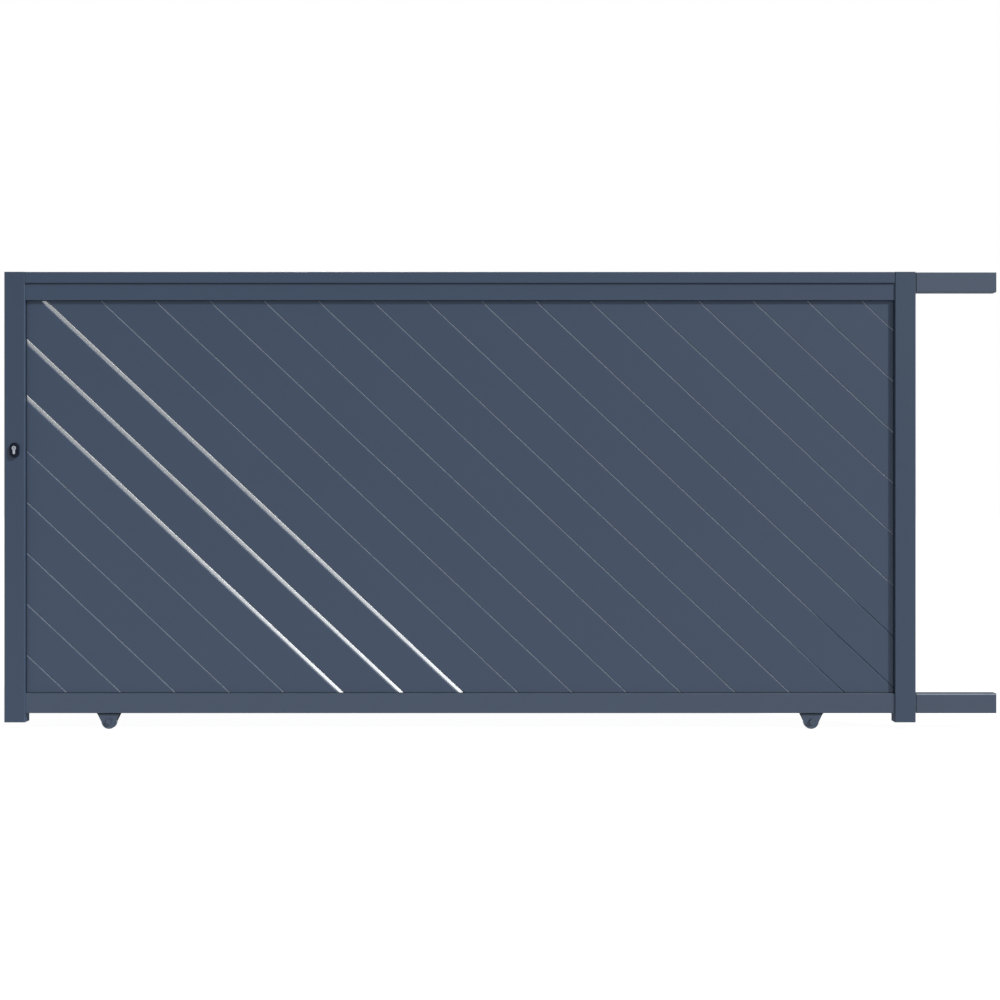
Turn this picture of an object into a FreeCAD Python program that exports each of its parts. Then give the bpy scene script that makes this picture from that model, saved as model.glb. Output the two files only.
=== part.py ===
import FreeCAD, Part

import math
import os

from FreeCAD import Placement, Rotation, Vector

# Leaf of a sliding driveway gate, in millimetres.
# +X runs from the leading stile to the tails, +Y from the street side to the back, +Z up.
# The origin is on the leading stile's outer face, at mid depth, level with the bottom rail's centre line.
# Heights named here are above the track that the wheels run on.

# Frame
LEAF_WIDTH = 3584.0
LEAF_TOP = 1800.0
STILE_WIDTH = 82.0
STILE_DEPTH = 50.0
STILE_WALL = 2.5
STILE_CORNER = 4.0
STILE_FOOT = 28.7
RAIL_DEPTH = 40.0
RAIL_WALL = 2.5
RAIL_CORNER = 3.0
BOTTOM_RAIL_HEIGHT = 78.0
BOTTOM_RAIL_UNDERSIDE = 64.0
TOP_RAIL_HEIGHT = 108.0
CAPPING_HEIGHT = 43.0
CAPPING_TOP_WALL = 3.0
CAPPING_END_GAP = 1.0
CAPPING_SIDE_FIT = 0.1
CAP_THICKNESS = 3.0
CAP_PLUG_DEPTH = 12.0
CAP_PLUG_FIT = 0.2
FOOT_TONGUE_LAP = 15.0

# Infill groove in the stiles and rails
GROOVE_DEPTH = 15.0
GROOVE_WALL = 2.0
INFILL_FIT = 0.25
INFILL_SEATING = 12.0

# Boards and bright inserts
BOARD_ANGLE = 43.2
BOARD_COVER = 146.6
BOARD_THICKNESS = 20.0
BOARD_WALL = 1.5
BOARD_CHAMBERS = 3
JOINT_GAP = 0.2
JOINT_CHAMFER = 2.8
TONGUE_THICKNESS = 5.0
TONGUE_LENGTH = 6.0
TONGUE_SIDE_FIT = 0.25
TONGUE_END_FIT = 0.6
INSERT_COVER = 15.0
INSERT_NAMES = ("lower", "middle", "upper")
MIDDLE_INSERT_FOOT = 1562.0

# Tails that the guides hold when the leaf is shut
TAIL_REACH = 318.0
TAIL_HEIGHT = 78.0
TOP_TAIL_DROP = 1.0
TAIL_FLANGE = 4.0
TAIL_FLANGE_INSET = 2.0
TAIL_SLEEVE_LENGTH = 60.0
TAIL_SLEEVE_WALL = 3.0
TAIL_SLEEVE_FIT = 0.2

# Wheel carriages
WHEEL_INSET = 407.0
WHEEL_RADIUS = 30.0
WHEEL_WIDTH = 14.0
WHEEL_GROOVE_RADIUS = 5.0
WHEEL_WEB_WIDTH = 8.0
WHEEL_HUB_RADIUS = 14.0
WHEEL_RIM_INNER = 21.0
HUB_SIDE_FIT = 1.0
AXLE_RADIUS = 6.0
AXLE_FIT = 0.05
BRACKET_DEPTH = 25.0
BRACKET_WALL = 2.5
BRACKET_BEND = 2.0
BRACKET_TOP_LENGTH = 87.5
BRACKET_FOOT_LENGTH = 35.5
BRACKET_FOOT = 8.0
PACKER_THICKNESS = 4.0
PACKER_OVERHANG = 2.0
WHEEL_SLOT_LENGTH = 54.0
AXLE_HEAD_FLATS = 19.0
AXLE_HEAD_HEIGHT = 7.5
AXLE_NUT_HEIGHT = 8.0
AXLE_END = 2.0

# Lock in the leading stile
LOCK_HEIGHT = 1099.0
LOCK_SETBACK = 42.0
ESCUTCHEON_WIDTH = 36.0
ESCUTCHEON_HEIGHT = 58.0
ESCUTCHEON_THICKNESS = 9.0
ESCUTCHEON_EDGE = 2.0
CYLINDER_RADIUS = 8.5
CYLINDER_LEG_WIDTH = 10.0
CYLINDER_HEIGHT = 33.0
CYLINDER_RECESS = 1.0
CYLINDER_FIT = 0.2
PLUG_RADIUS = 6.5
PLUG_RING = 0.4
KEYWAY_WIDTH = 2.4
KEYWAY_TOP = 5.4
KEYWAY_FOOT = 4.2
KEYWAY_DEPTH = 20.0
WARD_DEPTH = 0.9
WARD_HEIGHT = 1.8
WARD_OFFSET = 1.6
FACEPLATE_WIDTH = 24.0
FACEPLATE_HEIGHT = 200.0
FACEPLATE_THICKNESS = 3.0
FACEPLATE_FIT = 0.2
FACEPLATE_SCREW_INSET = 12.0
CYLINDER_SCREW_DROP = 12.0
COUNTERSINK_RADIUS = 4.2
SCREW_HOLE_RADIUS = 2.2
LOCK_CASE_HEIGHT = 165.0
LOCK_CASE_DEPTH = 57.0
LOCK_CASE_THICKNESS = 16.0
HOOK_SLOT_HEIGHT = 46.0
HOOK_SLOT_WIDTH = 10.0
HOOK_OFFSET = 45.0
HOOK_LENGTH = 40.0
HOOK_FIT = 0.25
HOOK_NOSE_RADIUS = 14.0

# Places worked out from the sizes above
ORIGIN_HEIGHT = BOTTOM_RAIL_UNDERSIDE + BOTTOM_RAIL_HEIGHT / 2
OPENING_LEFT = STILE_WIDTH
OPENING_RIGHT = LEAF_WIDTH - STILE_WIDTH
BOTTOM_RAIL_TOP = BOTTOM_RAIL_UNDERSIDE + BOTTOM_RAIL_HEIGHT
TOP_RAIL_UNDERSIDE = LEAF_TOP - CAPPING_TOP_WALL - TOP_RAIL_HEIGHT
GROOVE_WIDTH = BOARD_THICKNESS + 2 * INFILL_FIT
WHEEL_STATIONS = {"leading": WHEEL_INSET, "trailing": LEAF_WIDTH - WHEEL_INSET}
BRACKET_TOP = BOTTOM_RAIL_UNDERSIDE - PACKER_THICKNESS
BRACKET_GAP = BRACKET_DEPTH - 2 * BRACKET_WALL
WHEEL_HUB_WIDTH = BRACKET_GAP - 2 * HUB_SIDE_FIT

TURN_TO_RAIL = Rotation(Vector(1, 1, 1), 120)
TURN_TO_BOARD = Rotation(Vector(0, 1, 0), BOARD_ANGLE - 90)


def level(height):
    """Z of a height above the track."""
    return height - ORIGIN_HEIGHT


def placed(shape, rotation, place):
    """The shape turned about its own origin, then carried to a place."""
    moved = shape.copy()
    moved.Placement = Placement(place, rotation).multiply(moved.Placement)
    return moved


def block(x_span, y_span, z_span):
    """Box between two values along each axis."""
    low = Vector(x_span[0], y_span[0], z_span[0])
    return Part.makeBox(x_span[1] - x_span[0], y_span[1] - y_span[0], z_span[1] - z_span[0], low)


def rounded_bar(width, height, corner, length):
    """Bar along +Z about the origin with its four long edges rounded."""
    bar = block((-width / 2, width / 2), (-height / 2, height / 2), (0, length))
    long_edges = [edge for edge in bar.Edges if abs(edge.tangentAt(edge.FirstParameter).z) > 0.5]
    return bar.makeFillet(corner, long_edges)


def tube(width, height, corner, wall, length):
    """Rectangular tube along +Z about the origin, round outside and square inside."""
    outer = rounded_bar(width, height, corner, length)
    half_width = width / 2 - wall
    half_height = height / 2 - wall
    bore = block((-half_width, half_width), (-half_height, half_height), (0, length))
    return outer.cut(bore)


def grooved_tube(width, height, corner, wall, length):
    """Rectangular tube along +Z with the infill groove let into its +X side."""
    outer = rounded_bar(width, height, corner, length)
    edge = width / 2
    bore = block((-edge + wall, edge - wall), (-height / 2 + wall, height / 2 - wall), (0, length))
    lining_half = GROOVE_WIDTH / 2 + GROOVE_WALL
    lining = block((edge - GROOVE_DEPTH - GROOVE_WALL, edge), (-lining_half, lining_half), (0, length))
    groove = block((edge - GROOVE_DEPTH, edge), (-GROOVE_WIDTH / 2, GROOVE_WIDTH / 2), (0, length))
    return outer.cut(bore.cut(lining)).cut(groove)


def euro_prism(grow, front, back):
    """Profile of the lock cylinder between two depths at the lock's place, grown by a clearance."""
    radius = CYLINDER_RADIUS + grow
    leg_half = CYLINDER_LEG_WIDTH / 2 + grow
    length = back - front
    run = Vector(0, 1, 0)
    centre = level(LOCK_HEIGHT)
    top = centre + CYLINDER_HEIGHT / 2 - CYLINDER_RADIUS
    low = centre - CYLINDER_HEIGHT / 2 + CYLINDER_LEG_WIDTH / 2
    barrel = Part.makeCylinder(radius, length, Vector(LOCK_SETBACK, front, top), run)
    leg = block((LOCK_SETBACK - leg_half, LOCK_SETBACK + leg_half), (front, back), (low, top))
    toe = Part.makeCylinder(leg_half, length, Vector(LOCK_SETBACK, front, low), run)
    return barrel.fuse([leg, toe]).removeSplitter()


def faceplate_prism(grow, thickness):
    """Round-ended plate standing in the YZ plane, from the stile's outer face inwards."""
    radius = FACEPLATE_WIDTH / 2 + grow
    reach = FACEPLATE_HEIGHT / 2 - FACEPLATE_WIDTH / 2
    run = Vector(1, 0, 0)
    ends = [Part.makeCylinder(radius, thickness, Vector(0, 0, side * reach), run) for side in (-1, 1)]
    prism = block((0, thickness), (-radius, radius), (-reach, reach)).fuse(ends).removeSplitter()
    prism.translate(Vector(0, 0, level(LOCK_HEIGHT)))
    return prism


def stile(leading):
    """Upright of the leaf, with the infill groove facing the boards."""
    foot = STILE_FOOT + CAP_THICKNESS
    length = LEAF_TOP - CAP_THICKNESS - foot
    section = grooved_tube(STILE_WIDTH, STILE_DEPTH, STILE_CORNER, STILE_WALL, length)
    half_turn = Rotation(Vector(0, 0, 1), 0 if leading else 180)
    centre = STILE_WIDTH / 2 if leading else LEAF_WIDTH - STILE_WIDTH / 2
    return placed(section, half_turn, Vector(centre, 0, level(foot)))


def leading_stile():
    """Upright on the closing side, machined for the lock."""
    cylinder_hole = euro_prism(CYLINDER_FIT, -STILE_DEPTH / 2, STILE_DEPTH / 2)
    return stile(True).cut(cylinder_hole).cut(faceplate_prism(FACEPLATE_FIT, STILE_WALL))


def foot_tongue():
    """Tongue on a foot cap that closes the stile's infill groove up to the bottom rail."""
    face = STILE_WIDTH / 2 - CAP_PLUG_FIT
    seat = STILE_WIDTH / 2 - GROOVE_DEPTH + CAP_PLUG_FIT
    half = GROOVE_WIDTH / 2 - CAP_PLUG_FIT
    reach = BOTTOM_RAIL_UNDERSIDE + FOOT_TONGUE_LAP - STILE_FOOT - CAP_THICKNESS
    return block((seat, face), (-half, half), (-reach, 0))


def stile_caps(top):
    """Pair of moulded caps that close the stiles at the top or the foot."""
    plate = rounded_bar(STILE_WIDTH, STILE_DEPTH, STILE_CORNER, CAP_THICKNESS)
    cavity_width = STILE_WIDTH - STILE_WALL - GROOVE_DEPTH - GROOVE_WALL
    plug_half = STILE_DEPTH / 2 - STILE_WALL - CAP_PLUG_FIT
    plug_low = -STILE_WIDTH / 2 + STILE_WALL + CAP_PLUG_FIT
    plug_high = plug_low + cavity_width - 2 * CAP_PLUG_FIT
    plug = block((plug_low, plug_high), (-plug_half, plug_half), (-CAP_PLUG_DEPTH, 0))
    cap = plate.fuse(plug).removeSplitter()
    height = LEAF_TOP - CAP_THICKNESS
    leading_turn = Rotation()
    trailing_turn = Rotation(Vector(0, 0, 1), 180)
    if not top:
        cap = cap.fuse(foot_tongue()).removeSplitter()
        height = STILE_FOOT + CAP_THICKNESS
        leading_turn = Rotation(Vector(1, 0, 0), 180)
        trailing_turn = Rotation(Vector(0, 1, 0), 180)
    left = placed(cap, leading_turn, Vector(STILE_WIDTH / 2, 0, level(height)))
    right = placed(cap, trailing_turn, Vector(LEAF_WIDTH - STILE_WIDTH / 2, 0, level(height)))
    return Part.makeCompound([left, right])


def rail(height, groove_up):
    """Rail between the stiles about the X axis, with its infill groove up or down."""
    length = OPENING_RIGHT - OPENING_LEFT
    section = grooved_tube(height, RAIL_DEPTH, RAIL_CORNER, RAIL_WALL, length)
    groove_turn = Rotation(Vector(0, 0, 1), 90 if groove_up else -90)
    return placed(section, TURN_TO_RAIL.multiply(groove_turn), Vector(OPENING_LEFT, 0, 0))


def wheel_slot(station, low, high):
    """Room for the wheel's top between two heights above the track."""
    x_span = (station - WHEEL_SLOT_LENGTH / 2, station + WHEEL_SLOT_LENGTH / 2)
    return block(x_span, (-BRACKET_GAP / 2, BRACKET_GAP / 2), (level(low), level(high)))


def bottom_rail():
    """Lower rail, slotted underneath over each wheel."""
    underside = BOTTOM_RAIL_UNDERSIDE
    slots = [wheel_slot(station, underside, underside + RAIL_WALL) for station in WHEEL_STATIONS.values()]
    return rail(BOTTOM_RAIL_HEIGHT, True).cut(slots)


def top_rail():
    """Upper rail, under the capping."""
    body = rail(TOP_RAIL_HEIGHT, False)
    body.translate(Vector(0, 0, level(TOP_RAIL_UNDERSIDE) + TOP_RAIL_HEIGHT / 2))
    return body


def top_capping():
    """Inverted channel that sits over the top rail, flush with the stiles."""
    length = OPENING_RIGHT - OPENING_LEFT - 2 * CAPPING_END_GAP
    outer = rounded_bar(STILE_DEPTH, 2 * CAPPING_HEIGHT, STILE_CORNER, length)
    lower_half = block((-STILE_DEPTH, STILE_DEPTH), (-CAPPING_HEIGHT, 0), (0, length))
    inner_half = RAIL_DEPTH / 2 + CAPPING_SIDE_FIT
    channel = block((-inner_half, inner_half), (0, CAPPING_HEIGHT - CAPPING_TOP_WALL), (0, length))
    section = outer.cut(lower_half).cut(channel)
    place = Vector(OPENING_LEFT + CAPPING_END_GAP, 0, level(LEAF_TOP - CAPPING_HEIGHT))
    return placed(section, TURN_TO_RAIL, place)


def strip_section(cover, chambers):
    """Cross-section face of a tongue-and-groove strip: X across it, Y through it."""
    half = BOARD_THICKNESS / 2
    low = JOINT_GAP / 2
    high = cover - JOINT_GAP / 2
    shoulder = half - JOINT_CHAMFER
    tongue_half = TONGUE_THICKNESS / 2
    tongue_end = high + TONGUE_LENGTH
    slot_half = tongue_half + TONGUE_SIDE_FIT
    slot_end = low + TONGUE_LENGTH + TONGUE_END_FIT
    back = [(low + JOINT_CHAMFER, half), (high - JOINT_CHAMFER, half), (high, shoulder), (high, tongue_half)]
    tongue = [(tongue_end, tongue_half), (tongue_end, -tongue_half)]
    front = [(x, -y) for x, y in reversed(back)]
    slot = [(low, -shoulder), (low, -slot_half), (slot_end, -slot_half), (slot_end, slot_half)]
    corners = back + tongue + front + slot + [(low, slot_half), (low, shoulder)]
    points = [Vector(x, y, 0) for x, y in corners]
    section = Part.Face(Part.makePolygon(points + points[:1]))
    if not chambers:
        return section
    first = slot_end + BOARD_WALL
    last = high - JOINT_CHAMFER - BOARD_WALL
    span = (last - first - (chambers - 1) * BOARD_WALL) / chambers
    depth = BOARD_THICKNESS - 2 * BOARD_WALL
    for i in range(chambers):
        corner = Vector(first + i * (span + BOARD_WALL), -depth / 2, 0)
        section = section.cut(Part.makePlane(span, depth, corner))
    return section


def infill_block():
    """Space that the strips fill, from seat to seat in the frame's grooves."""
    x_span = (OPENING_LEFT - INFILL_SEATING, OPENING_RIGHT + INFILL_SEATING)
    z_span = (level(BOTTOM_RAIL_TOP) - INFILL_SEATING, level(TOP_RAIL_UNDERSIDE) + INFILL_SEATING)
    return x_span, z_span


def across(x, z):
    """Distance of a point from the origin across the boards, up and to the right."""
    angle = math.radians(BOARD_ANGLE)
    return x * math.sin(angle) + z * math.cos(angle)


def along(x, z):
    """Distance of a point from the origin along the boards, up and to the left."""
    angle = math.radians(BOARD_ANGLE)
    return z * math.sin(angle) - x * math.cos(angle)


def strip(section, start):
    """One strip at its distance across the boards, cut to the frame."""
    x_span, z_span = infill_block()
    low = along(x_span[1], z_span[0]) - BOARD_COVER
    high = along(x_span[0], z_span[1]) + BOARD_COVER
    bar = section.extrude(Vector(0, 0, high - low))
    bar.translate(Vector(start, 0, low))
    limits = block(x_span, (-BOARD_THICKNESS, BOARD_THICKNESS), z_span)
    return placed(bar, TURN_TO_BOARD, Vector()).common(limits)


def infill():
    """Every board and insert by node name, laid out from the middle insert."""
    x_span, z_span = infill_block()
    lowest = across(x_span[0], z_span[0])
    highest = across(x_span[1], z_span[1])
    middle = across(MIDDLE_INSERT_FOOT, level(BOTTOM_RAIL_TOP)) - INSERT_COVER / 2
    step = BOARD_COVER + INSERT_COVER
    insert_starts = [middle + i * step for i in (-1, 0, 1)]
    board_starts = [start + INSERT_COVER for start in insert_starts[:2]]
    start = insert_starts[0] - BOARD_COVER
    while start + BOARD_COVER > lowest:
        board_starts.append(start)
        start -= BOARD_COVER
    start = insert_starts[2] + INSERT_COVER
    while start < highest - TONGUE_LENGTH:
        board_starts.append(start)
        start += BOARD_COVER
    board = strip_section(BOARD_COVER, BOARD_CHAMBERS)
    insert = strip_section(INSERT_COVER, 0)
    pieces = {}
    for number, start in enumerate(sorted(board_starts), 1):
        pieces["board_%02d" % number] = strip(board, start)
    for name, start in zip(INSERT_NAMES, insert_starts):
        pieces["insert_" + name] = strip(insert, start)
    return pieces


def tail_centres():
    """Height of the centre line of the top and the bottom tail."""
    top = level(LEAF_TOP - TOP_TAIL_DROP - TAIL_HEIGHT / 2)
    bottom = level(BOTTOM_RAIL_UNDERSIDE + TAIL_HEIGHT / 2)
    return {"top": top, "bottom": bottom}


def tail(centre):
    """Hollow tail beyond the trailing stile."""
    length = TAIL_REACH - TAIL_FLANGE - CAP_THICKNESS
    body = tube(RAIL_DEPTH, TAIL_HEIGHT, RAIL_CORNER, RAIL_WALL, length)
    return placed(body, TURN_TO_RAIL, Vector(LEAF_WIDTH + TAIL_FLANGE, 0, centre))


def tail_sleeves():
    """Pair of flanged sleeves, fixed to the stile, that the tails slide over."""
    flange_depth = RAIL_DEPTH - 2 * TAIL_FLANGE_INSET
    flange_height = TAIL_HEIGHT - 2 * TAIL_FLANGE_INSET
    flange = rounded_bar(flange_depth, flange_height, RAIL_CORNER, TAIL_FLANGE)
    loss = 2 * (RAIL_WALL + TAIL_SLEEVE_FIT)
    length = TAIL_FLANGE + TAIL_SLEEVE_LENGTH
    sleeve = tube(RAIL_DEPTH - loss, TAIL_HEIGHT - loss, RAIL_CORNER / 2, TAIL_SLEEVE_WALL, length)
    piece = flange.fuse(sleeve).removeSplitter()
    places = [Vector(LEAF_WIDTH, 0, centre) for centre in tail_centres().values()]
    return Part.makeCompound([placed(piece, TURN_TO_RAIL, place) for place in places])


def tail_end_caps():
    """Pair of caps that close the ends of the tails."""
    plate = rounded_bar(RAIL_DEPTH, TAIL_HEIGHT, RAIL_CORNER, CAP_THICKNESS)
    half_depth = RAIL_DEPTH / 2 - RAIL_WALL - CAP_PLUG_FIT
    half_height = TAIL_HEIGHT / 2 - RAIL_WALL - CAP_PLUG_FIT
    plug = block((-half_depth, half_depth), (-half_height, half_height), (-CAP_PLUG_DEPTH, 0))
    cap = plate.fuse(plug).removeSplitter()
    end = LEAF_WIDTH + TAIL_REACH - CAP_THICKNESS
    places = [Vector(end, 0, centre) for centre in tail_centres().values()]
    return Part.makeCompound([placed(cap, TURN_TO_RAIL, place) for place in places])


def bracket(station):
    """Folded wheel bracket: a channel with tapered cheeks under the bottom rail."""
    top = level(BRACKET_TOP)
    foot = level(BRACKET_FOOT)
    height = top - foot
    outer = rounded_bar(BRACKET_DEPTH, 2 * height, BRACKET_BEND, BRACKET_TOP_LENGTH)
    lower_half = block((-BRACKET_DEPTH, BRACKET_DEPTH), (-height, 0), (0, BRACKET_TOP_LENGTH))
    bay = block((-BRACKET_GAP / 2, BRACKET_GAP / 2), (0, height - BRACKET_WALL), (0, BRACKET_TOP_LENGTH))
    channel = outer.cut(lower_half).cut(bay)
    folded = placed(channel, TURN_TO_RAIL, Vector(station - BRACKET_TOP_LENGTH / 2, 0, foot))
    outline = [
        (station - BRACKET_TOP_LENGTH / 2, top),
        (station + BRACKET_TOP_LENGTH / 2, top),
        (station + BRACKET_FOOT_LENGTH / 2, foot),
        (station - BRACKET_FOOT_LENGTH / 2, foot),
    ]
    corners = [Vector(x, -BRACKET_DEPTH, z) for x, z in outline]
    taper = Part.Face(Part.makePolygon(corners + corners[:1])).extrude(Vector(0, 2 * BRACKET_DEPTH, 0))
    slot = wheel_slot(station, BRACKET_TOP - BRACKET_WALL, BRACKET_TOP)
    axle_start = Vector(station, -BRACKET_DEPTH, level(WHEEL_RADIUS))
    axle_hole = Part.makeCylinder(AXLE_RADIUS + AXLE_FIT, 2 * BRACKET_DEPTH, axle_start, Vector(0, 1, 0))
    return folded.common(taper).cut(slot).cut(axle_hole)


def wheel_packers():
    """Pair of slotted plates between the bottom rail and the wheel brackets."""
    half_length = BRACKET_TOP_LENGTH / 2 + PACKER_OVERHANG
    z_span = (level(BRACKET_TOP), level(BOTTOM_RAIL_UNDERSIDE))
    plates = []
    for station in WHEEL_STATIONS.values():
        x_span = (station - half_length, station + half_length)
        plate = block(x_span, (-BRACKET_DEPTH / 2, BRACKET_DEPTH / 2), z_span)
        plates.append(plate.cut(wheel_slot(station, BRACKET_TOP, BOTTOM_RAIL_UNDERSIDE)))
    return Part.makeCompound(plates)


def hexagon(flats, height, start):
    """Hexagonal prism along +Y from a point."""
    radius = flats / math.sqrt(3)
    corners = []
    for i in range(7):
        angle = math.radians(60 * i)
        corners.append(Vector(radius * math.cos(angle), 0, radius * math.sin(angle)))
    body = Part.Face(Part.makePolygon(corners)).extrude(Vector(0, height, 0))
    body.translate(start)
    return body


def axle_bolt(station):
    """Bolt that the wheel turns on, with its head on the street side."""
    centre = level(WHEEL_RADIUS)
    half = BRACKET_DEPTH / 2
    head = hexagon(AXLE_HEAD_FLATS, AXLE_HEAD_HEIGHT, Vector(station, -half - AXLE_HEAD_HEIGHT, centre))
    length = BRACKET_DEPTH + AXLE_NUT_HEIGHT + AXLE_END
    shank = Part.makeCylinder(AXLE_RADIUS, length, Vector(station, -half, centre), Vector(0, 1, 0))
    return head.fuse(shank).removeSplitter()


def axle_nut(station):
    """Nut on the back end of the axle bolt."""
    start = Vector(station, BRACKET_DEPTH / 2, level(WHEEL_RADIUS))
    thread = Part.makeCylinder(AXLE_RADIUS + AXLE_FIT, AXLE_NUT_HEIGHT, start, Vector(0, 1, 0))
    return hexagon(AXLE_HEAD_FLATS, AXLE_NUT_HEIGHT, start).cut(thread)


def wheel(station):
    """Grooved wheel, turned about the axle."""
    bore = AXLE_RADIUS + AXLE_FIT
    hub_half = WHEEL_HUB_WIDTH / 2
    web_half = WHEEL_WEB_WIDTH / 2
    rim_half = WHEEL_WIDTH / 2
    side = [
        (bore, hub_half),
        (WHEEL_HUB_RADIUS, hub_half),
        (WHEEL_HUB_RADIUS, web_half),
        (WHEEL_RIM_INNER, web_half),
        (WHEEL_RIM_INNER, rim_half),
        (WHEEL_RADIUS, rim_half),
    ]
    corners = side + [(r, -y) for r, y in reversed(side)]
    points = [Vector(r, y, 0) for r, y in corners]
    blank = Part.Face(Part.makePolygon(points + points[:1])).revolve(Vector(), Vector(0, 1, 0), 360)
    groove = Part.makeTorus(WHEEL_RADIUS, WHEEL_GROOVE_RADIUS, Vector(), Vector(0, 1, 0))
    turned = blank.cut(groove)
    turned.translate(Vector(station, 0, level(WHEEL_RADIUS)))
    return turned


def escutcheon(front):
    """Round-ended cover around the lock cylinder on one face of the stile."""
    radius = ESCUTCHEON_WIDTH / 2
    reach = ESCUTCHEON_HEIGHT / 2 - radius
    run = Vector(0, 1, 0)
    ends = [Part.makeCylinder(radius, ESCUTCHEON_THICKNESS, Vector(0, 0, s * reach), run) for s in (-1, 1)]
    middle = block((-radius, radius), (0, ESCUTCHEON_THICKNESS), (-reach, reach))
    body = middle.fuse(ends).removeSplitter()
    rim = [edge for edge in body.Edges if abs(edge.CenterOfMass.y) < 0.01]
    body = body.makeFillet(ESCUTCHEON_EDGE, rim)
    turn = Rotation() if front else Rotation(Vector(0, 0, 1), 180)
    depth = STILE_DEPTH / 2 + ESCUTCHEON_THICKNESS
    place = Vector(LOCK_SETBACK, -depth if front else depth, level(LOCK_HEIGHT))
    return placed(body, turn, place).cut(euro_prism(CYLINDER_FIT, -depth, depth))


def plug_face():
    """Keyway and ring around the plug, cut into one end of the cylinder along +Y."""
    run = Vector(0, 1, 0)
    rim = Part.makeCylinder(PLUG_RADIUS, PLUG_RING, Vector(), run)
    core = Part.makeCylinder(PLUG_RADIUS - PLUG_RING, PLUG_RING, Vector(), run)
    depth = (0, KEYWAY_DEPTH)
    half = KEYWAY_WIDTH / 2
    slot = block((-half, half), depth, (-KEYWAY_FOOT, KEYWAY_TOP))
    left_ward = block((-half - WARD_DEPTH, -half), depth, (-WARD_OFFSET, -WARD_OFFSET + WARD_HEIGHT))
    right_ward = block((half, half + WARD_DEPTH), depth, (-WARD_OFFSET - WARD_HEIGHT, -WARD_OFFSET))
    keyway = slot.fuse([left_ward, right_ward]).removeSplitter()
    return Part.makeCompound([rim.cut(core), keyway])


def lock_cylinder():
    """Profile cylinder that runs through the stile from escutcheon to escutcheon."""
    end = STILE_DEPTH / 2 + ESCUTCHEON_THICKNESS - CYLINDER_RECESS
    barrel_centre = level(LOCK_HEIGHT) + CYLINDER_HEIGHT / 2 - CYLINDER_RADIUS
    front = placed(plug_face(), Rotation(), Vector(LOCK_SETBACK, -end, barrel_centre))
    back = placed(plug_face(), Rotation(Vector(0, 0, 1), 180), Vector(LOCK_SETBACK, end, barrel_centre))
    return euro_prism(0, -end, end).cut([front, back])


def hook_slot(grow, x_span):
    """Slot for the hook bolt, above the cylinder."""
    middle = level(LOCK_HEIGHT) + HOOK_OFFSET
    half_height = HOOK_SLOT_HEIGHT / 2 + grow
    half_width = HOOK_SLOT_WIDTH / 2 + grow
    return block(x_span, (-half_width, half_width), (middle - half_height, middle + half_height))


def lock_faceplate():
    """Plate set flush in the stile's outer face, slotted for the hook bolt and countersunk for screws."""
    plate = faceplate_prism(0, FACEPLATE_THICKNESS).cut(hook_slot(HOOK_FIT, (0, FACEPLATE_THICKNESS)))
    reach = FACEPLATE_HEIGHT / 2 - FACEPLATE_SCREW_INSET
    sink = COUNTERSINK_RADIUS - SCREW_HOLE_RADIUS
    run = Vector(1, 0, 0)
    for offset in (-reach, -CYLINDER_SCREW_DROP, reach):
        place = Vector(0, 0, level(LOCK_HEIGHT) + offset)
        cone = Part.makeCone(COUNTERSINK_RADIUS, SCREW_HOLE_RADIUS, sink, place, run)
        hole = Part.makeCylinder(SCREW_HOLE_RADIUS, FACEPLATE_THICKNESS, place, run)
        plate = plate.cut([cone, hole])
    return plate


def lock_case():
    """Closed lock case inside the leading stile, behind the faceplate."""
    middle = level(LOCK_HEIGHT)
    half_height = LOCK_CASE_HEIGHT / 2
    half_thickness = LOCK_CASE_THICKNESS / 2
    x_span = (FACEPLATE_THICKNESS, LOCK_CASE_DEPTH)
    case = block(x_span, (-half_thickness, half_thickness), (middle - half_height, middle + half_height))
    cylinder_hole = euro_prism(CYLINDER_FIT, -half_thickness, half_thickness)
    hook_bay = hook_slot(HOOK_FIT, (FACEPLATE_THICKNESS, FACEPLATE_THICKNESS + HOOK_LENGTH))
    return case.cut(cylinder_hole).cut(hook_bay)


def hook_bolt():
    """Hook bolt drawn back into the lock, its nose level with the faceplate."""
    blank = hook_slot(0, (0, FACEPLATE_THICKNESS + HOOK_LENGTH))
    cross_edges = [edge for edge in blank.Edges if abs(edge.tangentAt(edge.FirstParameter).y) > 0.5]
    nose = max(cross_edges, key=lambda edge: edge.CenterOfMass.z - edge.CenterOfMass.x)
    return blank.makeFillet(HOOK_NOSE_RADIUS, [nose])


def build():
    """Every piece by node name."""
    pieces = {
        "leading_stile": leading_stile(),
        "trailing_stile": stile(False),
        "stile_top_caps": stile_caps(True),
        "stile_foot_caps": stile_caps(False),
        "bottom_rail": bottom_rail(),
        "top_rail": top_rail(),
        "top_capping": top_capping(),
        "tail_sleeves": tail_sleeves(),
        "tail_end_caps": tail_end_caps(),
        "front_escutcheon": escutcheon(True),
        "back_escutcheon": escutcheon(False),
        "lock_cylinder": lock_cylinder(),
        "lock_faceplate": lock_faceplate(),
        "lock_case": lock_case(),
        "hook_bolt": hook_bolt(),
        "wheel_packers": wheel_packers(),
    }
    for name, centre in tail_centres().items():
        pieces[name + "_tail"] = tail(centre)
    for name, station in WHEEL_STATIONS.items():
        pieces[name + "_wheel_bracket"] = bracket(station)
        pieces[name + "_axle_bolt"] = axle_bolt(station)
        pieces[name + "_axle_nut"] = axle_nut(station)
        pieces[name + "_wheel"] = wheel(station)
    pieces.update(infill())
    return pieces


os.makedirs("parts", exist_ok=True)
for node, shape in build().items():
    shape.exportStep(os.path.join("parts", node + ".step"))
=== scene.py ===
"""Looks of a sliding gate leaf: coated frame, diagonal boards, bright inserts, tails, wheels and lock."""

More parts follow.
